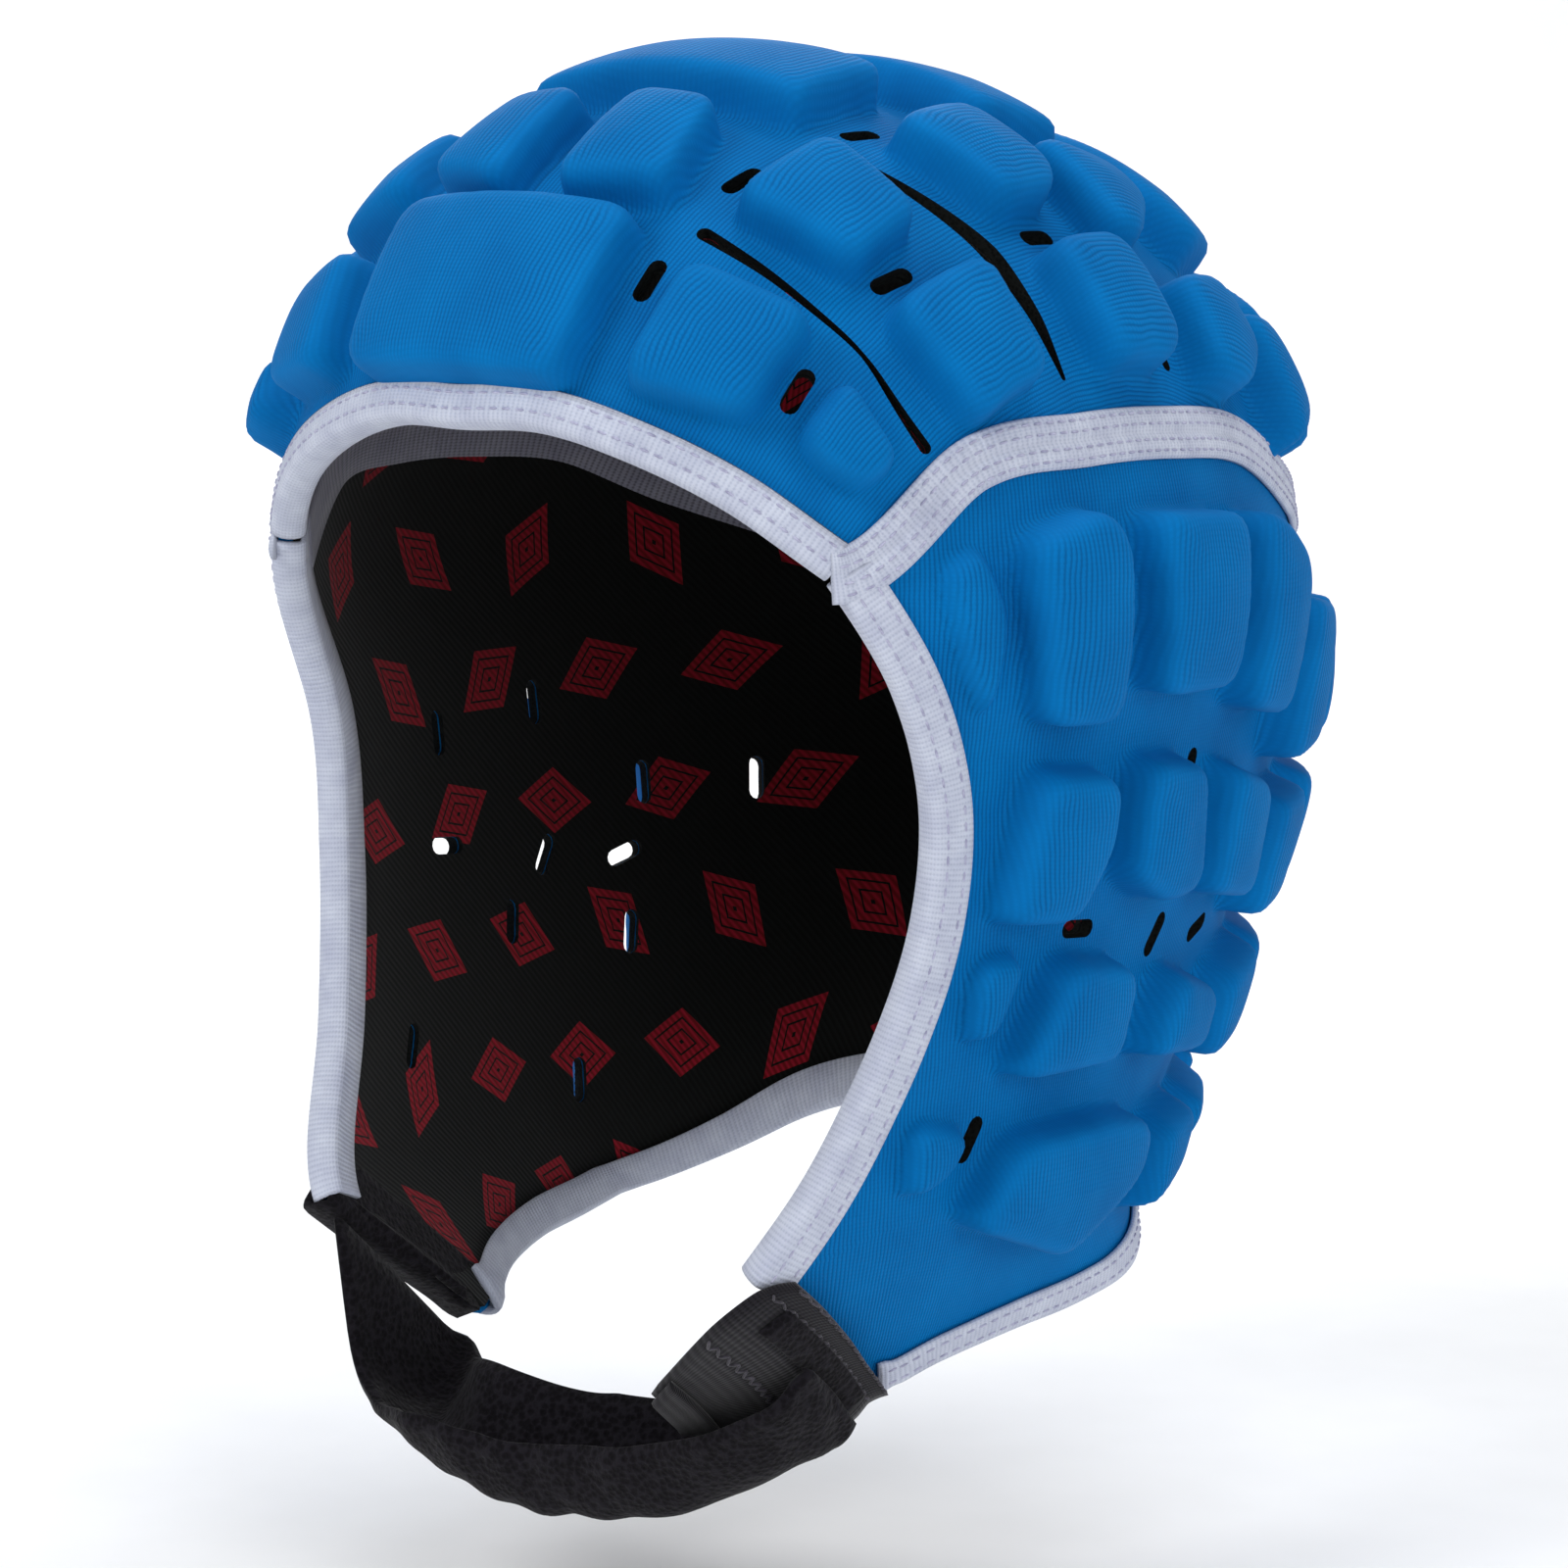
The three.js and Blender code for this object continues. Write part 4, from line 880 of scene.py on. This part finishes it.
def bind(name, node, path, width, reaches):
    piece = tube(name, tape_rings(path, fold_section(width)))
    piece.data.materials.append(white_tape)
    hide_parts(node)
    sew(name, path, reaches, TAPE_GAP + TAPE + 0.18)


# How much of the tape shows at each edge, and how far from its fold each row of stitches is.
BROW_WIDTH, CHEEK_WIDTH, NECK_WIDTH = 5.2, 6.6, 6.0
BROW_ROWS, CHEEK_ROWS, NECK_ROWS = (1.2, 4.0), (1.5, 5.0), (1.4, 4.6)
brow_turns = np.linspace(-TEMPLE_TURN, TEMPLE_TURN, 160)
brow_line = wall_points(brow_turns, brow_height(np.abs(brow_turns)) + SEAM_GAP / 2)
face_line = side_surface(np.zeros(160), np.linspace(0, FACE_SHARE, 160))
face_line = np.vstack([face_line, face_line[-1] * 2.2 - face_line[-2] * 1.2])
neck_line = side_surface(np.linspace(0, 1, 200), np.ones(200))
bind("forehead_edge", "forehead_binding", smooth_path(brow_line, trim=(0.4, 0.4)), BROW_WIDTH, BROW_ROWS)
bind("cheek_edge_left", "cheek_binding_left",
     smooth_path(face_line, trim=(1.2, 0)), CHEEK_WIDTH, CHEEK_ROWS)
bind("cheek_edge_right", "cheek_binding_right",
     smooth_path(flip(face_line)[::-1], trim=(0, 1.2)), CHEEK_WIDTH, CHEEK_ROWS)
bind("neck_edge_left", "neck_binding_left",
     smooth_path(neck_line, trim=(3.2, 0.2)), NECK_WIDTH, NECK_ROWS)
bind("neck_edge_right", "neck_binding_right",
     smooth_path(flip(neck_line)[::-1], trim=(0.2, 3.2)), NECK_WIDTH, NECK_ROWS)

# --- Seam tapes -----------------------------------------------------------------------
# Two runs of the same tape side by side cover the join of crown and sides, sewn along both
# edges of each, and one more run covers the join down the middle of the back. Inside, the
# join is covered by a soft grey tape.


SEAM_TAPE, BACK_TAPE, INNER_TAPE, INNER_SHIFT = 9.5, 10.0, 15.0, -3.5
DOUBLE_THICK, STITCH_RISE = 1.4, TAPE_GAP + 1.42


def flat_section(width, low, thick, ridges, shift=0.0):
    """A tape with some raised runs side by side."""
    reach = np.linspace(width / 2, -width / 2, 24)
    wave = np.abs(np.sin((reach / width + 0.5) * math.pi * ridges)) ** 0.45
    reach = reach + shift
    top = [(x, low + thick * (0.45 + 0.55 * w)) for x, w in zip(reach, wave)]
    return [(x, low) for x in reach[::-1][::8]] + top


half_turns = np.linspace(TEMPLE_TURN - 0.3, 180, 260)
seam_turns = np.concatenate([half_turns, 360 - half_turns[-2::-1]])
seam_fold = np.where(seam_turns > 180, 360 - seam_turns, seam_turns)
seam_line = wall_points(seam_turns, seam_height(seam_fold))
seam_path = smooth_path(seam_line)
seam_tape = tube("seam_tape", tape_rings(seam_path, flat_section(SEAM_TAPE, TAPE_GAP, DOUBLE_THICK, 2)))
seam_tape.data.materials.append(white_tape)
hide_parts("seam_binding")
sew("seam", seam_path, (-3.4, -1.4, 1.4, 3.4), STITCH_RISE)
back_line = side_surface(np.ones(120), np.linspace(0, 1, 120)) * np.array([0, 1, 1])
back_path = smooth_path(back_line, trim=(5.5, 9))
back_tape = tube("back_tape", tape_rings(back_path, flat_section(BACK_TAPE, TAPE_GAP, DOUBLE_THICK, 2)))
back_tape.data.materials.append(white_tape)
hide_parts("back_seam_tape")
sew("back", back_path, (-3.6, 3.6), STITCH_RISE)

inner_level = -(COVER + LAYER_GAP + LINING) - TAPE_GAP - 1.2
inner_tape = tube("inner_tape", tape_rings(smooth_path(seam_line, 2.4, (6, 6)),
                                           flat_section(INNER_TAPE, inner_level, 1.0, 1, INNER_SHIFT)))
# The darker grey is painted shade in the hollows of the grey tape's ribs.
inner_tape.data.materials.append(woven_tape("woven_grey_tape", "#8c8c99", "#66666f", 1.4))
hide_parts("inner_seam_tape")

# --- Strap tabs -----------------------------------------------------------------------
# Black loop-faced webbing sewn over the lower front corner of each side. The left one runs
# on as a tongue to which the strap fastens, and the right one is a short cap.
TAB_LENGTH, TAB_END, TAB_END_PLACE = 28.0, 13.0, 0.6


def corner_edge(share):
    return side_surface(np.zeros_like(share), FACE_SHARE + (1 - FACE_SHARE) * share)


corner_ends = corner_edge(np.array([0.0, 1.0]))
corner_line = corner_ends[1] - corner_ends[0]
corner_middle = corner_edge(np.array([0.5]))[0]
corner_normal = form_normal(corner_middle[None])[0]
corner_out = np.cross(corner_line, corner_normal)
corner_out /= np.linalg.norm(corner_out)


def plate_points(rows, t, s):
    """Points of a soft plate through some rows, and the directions off it."""
    grid = np.stack([np.stack([along(rows[:, c, k], t) for k in range(3)], -1)
                     for c in range(rows.shape[1])], 1)
    grid = np.stack([np.stack([along(line[:, k], s) for k in range(3)], -1) for line in grid])
    normal = unit(np.cross(np.gradient(grid, axis=0), np.gradient(grid, axis=1)))
    return grid, normal * np.sign(normal[len(t) // 2, len(s) // 2] @ corner_normal)


def plate(name, rows, low, thick, turn_over, t_range=(0, 1), s_range=(0, 1), counts=(30, 24)):
    """A soft plate through some rows of points, with rounded edges."""
    t, s = np.linspace(*t_range, counts[0]), np.linspace(*s_range, counts[1])
    grid, normal = plate_points(rows, t, s)
    in_t, in_s = (np.minimum(np.arange(count), count - 1 - np.arange(count)) for count in counts)
    from_edge = np.minimum(in_s[None], in_t[:, None])
    swell = (np.clip(from_edge / 2, 0, 1) ** 0.5)[..., None]
    top = grid + normal * (low + thick * (0.55 + 0.45 * swell))
    bottom = grid + normal * (low + thick * (0.45 - 0.45 * swell))
    if turn_over:
        top, bottom = flip(top), flip(bottom)
    uv = np.stack(np.meshgrid(s * 34, t * 45), -1)
    return layered(name, top, bottom, (uv, uv), False)


# Loop pile of nylon webbing: near-black with a violet cast and very rough, with 1.2 mm
# clumps of loops that catch the light.
def loop_webbing():
    material, tree, shader, place = start_material("nylon_loop_webbing", 0.9, 0.08)
    clumps = add(tree, "TexVoronoi", {"Vector": place, "Scale": 830.0}).outputs["Distance"]
    fuzz = add(tree, "TexNoise", {"Vector": place, "Scale": 1800.0, "Detail": 3.0}).outputs["Fac"]
    height = add(tree, "Math", {0: fuzz, 1: 0.6, 2: clumps}, operation="MULTIPLY_ADD").outputs[0]
    colour = add(tree, "ValToRGB", {"Fac": height},
                 [(0.25, "#070608"), (0.75, "#100e12"), (1.0, "#1b191e")]).outputs["Color"]
    finish_material(tree, shader, colour, height, 0.7, 0.0003)
    return material


webbing = loop_webbing()


def tab_rows(lap, length, end_width):
    shares = np.linspace(0, 1, 5)
    narrow = TAB_END_PLACE + (shares - TAB_END_PLACE) * end_width / np.linalg.norm(corner_line)
    return np.array([
        side_surface(np.full(5, lap), FACE_SHARE + (1 - FACE_SHARE) * shares),
        corner_edge(shares),
        corner_edge(shares) + corner_out * length / 3,
        corner_ends[0] + corner_line * narrow[:, None] + corner_out * length - corner_normal * length / 3,
    ])


TAB_LOW, TAB_THICK = 2 * TAPE_GAP + TAPE, 2.0
LEFT_LAP, RIGHT_LAP, CAP_LENGTH, CAP_END = 0.025, 0.06, 1.5, 34.0
left_rows, right_rows = tab_rows(LEFT_LAP, TAB_LENGTH, TAB_END), tab_rows(RIGHT_LAP, CAP_LENGTH, CAP_END)
left_tab = plate("fastening_tab", left_rows, TAB_LOW, TAB_THICK, False)
right_tab = plate("sewn_tab", right_rows, TAB_LOW, TAB_THICK, True)
hook_patch = plate("hook_patch", left_rows, TAB_LOW + TAB_THICK, 0.9, False, (0.34, 0.58), (0.16, 0.9))
tab_end = plate("tab_end_fold", left_rows, TAB_LOW + TAB_THICK, 1.8, False, (0.9, 1.0), (0.03, 0.97))
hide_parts("strap_tab_left")
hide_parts("strap_tab_right")


# Woven edge of the tab: charcoal, a little paler than the loops, ribbed every 1.4 mm.
# Its darker colour is painted shade in the hollows of the ribs.
border_tape = woven_tape("woven_charcoal_webbing", "#1e1c21", "#0c0b0e", 1.4)
left_tab.data.materials.append(border_tape)
tab_end.data.materials.append(border_tape)
right_tab.data.materials.append(webbing)
hook_patch.data.materials.append(webbing)
black_thread = twisted_thread("black_polyester_thread", 0.5, "#2f2d33", "#4b4850")
for k, (t_from, t_to) in enumerate(((0.06, 0.12), (0.32, 0.36), (0.72, 0.75))):
    beads = np.linspace(0.06, 0.94, 29)
    first, up = plate_points(left_rows, np.array([t_from, t_to]), beads)
    first = first + up * (TAB_LOW + TAB_THICK + 0.12)
    zigzag = np.array([first[j % 2, j] for j in range(len(beads))])
    row = thread_pieces(f"tab_stitches_{k}", zigzag[:-1], zigzag[1:], up[0, 1:], 0.3)
    row.data.materials.append(black_thread)

# --- Chin strap -----------------------------------------------------------------------
# A wide band of the same webbing, sewn to the right tab, gathered into a trough under the
# chin, and pressed onto the left tab.
STRAP_WIDTH, STRAP_THICK, STRAP_SAG, STRAP_FORWARD, STRAP_START = 34.0, 2.4, 40.0, 14.0, 5.0
STRAP_ROWS = {
    "along": [0.0, 0.03, 0.1, 0.26, 0.5, 0.72, 0.88, 1.0],
    "sag": [0.02, 0.38, 0.64, 0.82, 1.0, 0.86, 0.66, 0.36],
    "forward": [0.0, -0.1, 0.2, 1.0, 0.86, 0.35, 0.05, 0.05],
    "frontOut": [-0.47, -0.48, -0.42, -0.24, -0.14, -0.2, -0.34, -0.36],
    "frontUp": [0.42, 0.14, 0.22, 0.44, 0.56, 0.56, 0.46, 0.36],
    "backOut": [0.45, 0.46, 0.4, 0.28, 0.32, 0.36, 0.3, 0.06],
    "backUp": [-0.42, 0.0, 0.26, 0.62, 0.74, 0.64, 0.3, 0.0],
}


def strap_column(name, share):
    """Smooth values from unevenly spaced rows."""
    x, y = np.array(STRAP_ROWS["along"]), np.array(STRAP_ROWS[name])
    place = np.arange(len(x))
    after, before = np.minimum(place + 1, len(x) - 1), np.maximum(place - 1, 0)
    slope = (y[after] - y[before]) / (x[after] - x[before])
    row = np.clip(np.searchsorted(x, share, side="right") - 1, 0, len(x) - 2)
    gap = x[row + 1] - x[row]
    t = (share - x[row]) / gap
    return (y[row] * (2 * t ** 3 - 3 * t ** 2 + 1) + slope[row] * gap * (t ** 3 - 2 * t ** 2 + t)
            + y[row + 1] * (3 * t ** 2 - 2 * t ** 3) + slope[row + 1] * gap * (t ** 3 - t ** 2))


PRESSED_FROM, PRESSED_RUN, BULGE_FROM, BULGE_RUN, BULGE = 0.66, 0.34, 0.55, 0.3, 9
near_end = corner_middle + corner_out * STRAP_START
far_end = flip(near_end)
share = np.linspace(0, 1.0, 124)
keel = far_end + (near_end - far_end) * share[:, None]
keel[:, 1] -= STRAP_FORWARD * strap_column("forward", share)
keel[:, 2] -= STRAP_SAG * strap_column("sag", share)
front, rear = (keel + STRAP_WIDTH * np.stack(
    [0 * share, strap_column(edge + "Out", share), strap_column(edge + "Up", share)], 1)
    for edge in ("front", "back"))
pressed, off_tab = plate_points(left_rows, np.array([0.5, 0.58]), np.array([0.4, 0.66, 0.92]))
pressed = pressed[1] + off_tab[1] * (TAB_LOW + TAB_THICK + STRAP_THICK * 0.6)
onto = np.clip((share - PRESSED_FROM) / PRESSED_RUN, 0, 1)[:, None]
onto = onto * onto * (3 - 2 * onto)
outward = corner_normal * BULGE * np.clip((share - BULGE_FROM) / BULGE_RUN, 0, 1)[:, None]
front, keel, rear = ((line + outward) * (1 - onto) + end * onto
                     for line, end in zip((front, keel, rear), pressed))
s = np.linspace(0, 1, 29)[None, :, None]
low_middle = keel + (keel - (front + rear) / 2) * 0.35
bend = (1 - s) ** 2 * front[:, None] + 2 * s * (1 - s) * low_middle[:, None] + s ** 2 * rear[:, None]
inward = unit(np.cross(np.gradient(bend, axis=1), np.gradient(bend, axis=0)))
edge = np.clip(np.minimum(s, 1 - s) * 28, 0, 1) ** 0.5
ripple = 0.35 * np.sin(share * 60)[:, None, None] * np.sin(s * 9 + 1)
outside = bend + inward * (STRAP_THICK * (0.45 - 0.45 * edge) + ripple)
inside = bend + inward * (STRAP_THICK * (0.55 + 0.45 * edge) + ripple)
strap_uv = np.stack(np.meshgrid(s[0, :, 0] * 34, share * 110), -1)
strap = layered("chin_band", outside, inside, (strap_uv, strap_uv), False)
strap.data.materials.append(webbing)
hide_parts("chin_strap")

# --- Stage ----------------------------------------------------------------------------
# Matt paper that sweeps up behind the cap, and large soft lamps to the left, to the right,
# above and behind.


# Matt studio paper: pale and neutral, with hardly any grain.
def studio_paper():
    material, tree, shader, place = start_material("matt_studio_paper", 0.9)
    grain = add(tree, "TexNoise", {"Vector": place, "Scale": 40.0}).outputs["Fac"]
    colour = add(tree, "ValToRGB", {"Fac": grain}, [(0.0, "#f0f0f0"), (1.0, "#f6f6f6")])
    tree.links.new(colour.outputs["Color"], shader.inputs["Base Color"])
    return material


PAPER_DROP, PAPER_HALF = 12, 2600
PAPER_SWEEP = [(-2200, 0), (900, 0), (1150, 40), (1330, 170), (1420, 380), (1440, 1400)]
floor_level = cad_box[0][2] / MM - PAPER_DROP
vertices = []
for reach, rise in PAPER_SWEEP:
    for side in (-PAPER_HALF, PAPER_HALF):
        at = -np.array(back) * reach + np.array(right) * side
        vertices.append([at[0], at[1], floor_level + rise])
paper_mesh = bpy.data.meshes.new("paper_sweep")
paper_mesh.from_pydata((np.array(vertices) * MM).tolist(), [],
                       [[2 * k, 2 * k + 1, 2 * k + 3, 2 * k + 2] for k in range(len(PAPER_SWEEP) - 1)])
paper_mesh.shade_smooth()
paper_mesh.materials.append(studio_paper())
paper = add_object("paper_sweep", paper_mesh)

for name, place, size, power in (
    ("key_lamp", (-0.35, -1.3, 0.9), 0.9, 12), ("fill_lamp", (1.5, -0.5, 0.35), 1.1, 9),
    ("top_lamp", (0.1, 0.2, 1.5), 1.2, 12), ("rim_lamp", (-0.9, 0.9, 0.6), 0.8, 7),
):
    lamp = add_object(name, bpy.data.lights.new(name, "AREA"))
    lamp.data.shape = "DISK"
    lamp.data.size = size
    lamp.data.energy = power
    lamp.location = place
    lamp.rotation_euler = (Vector(place) - Vector((0, 0, -0.12))).to_track_quat("Z", "Y").to_euler()
world = bpy.data.worlds.new("pale_room")
world.use_nodes = True
world.node_tree.nodes["Background"].inputs["Color"].default_value = linear("#e4e7ec")
world.node_tree.nodes["Background"].inputs["Strength"].default_value = 0.5
bpy.context.scene.world = world
bpy.context.scene.view_settings.view_transform = "Standard"
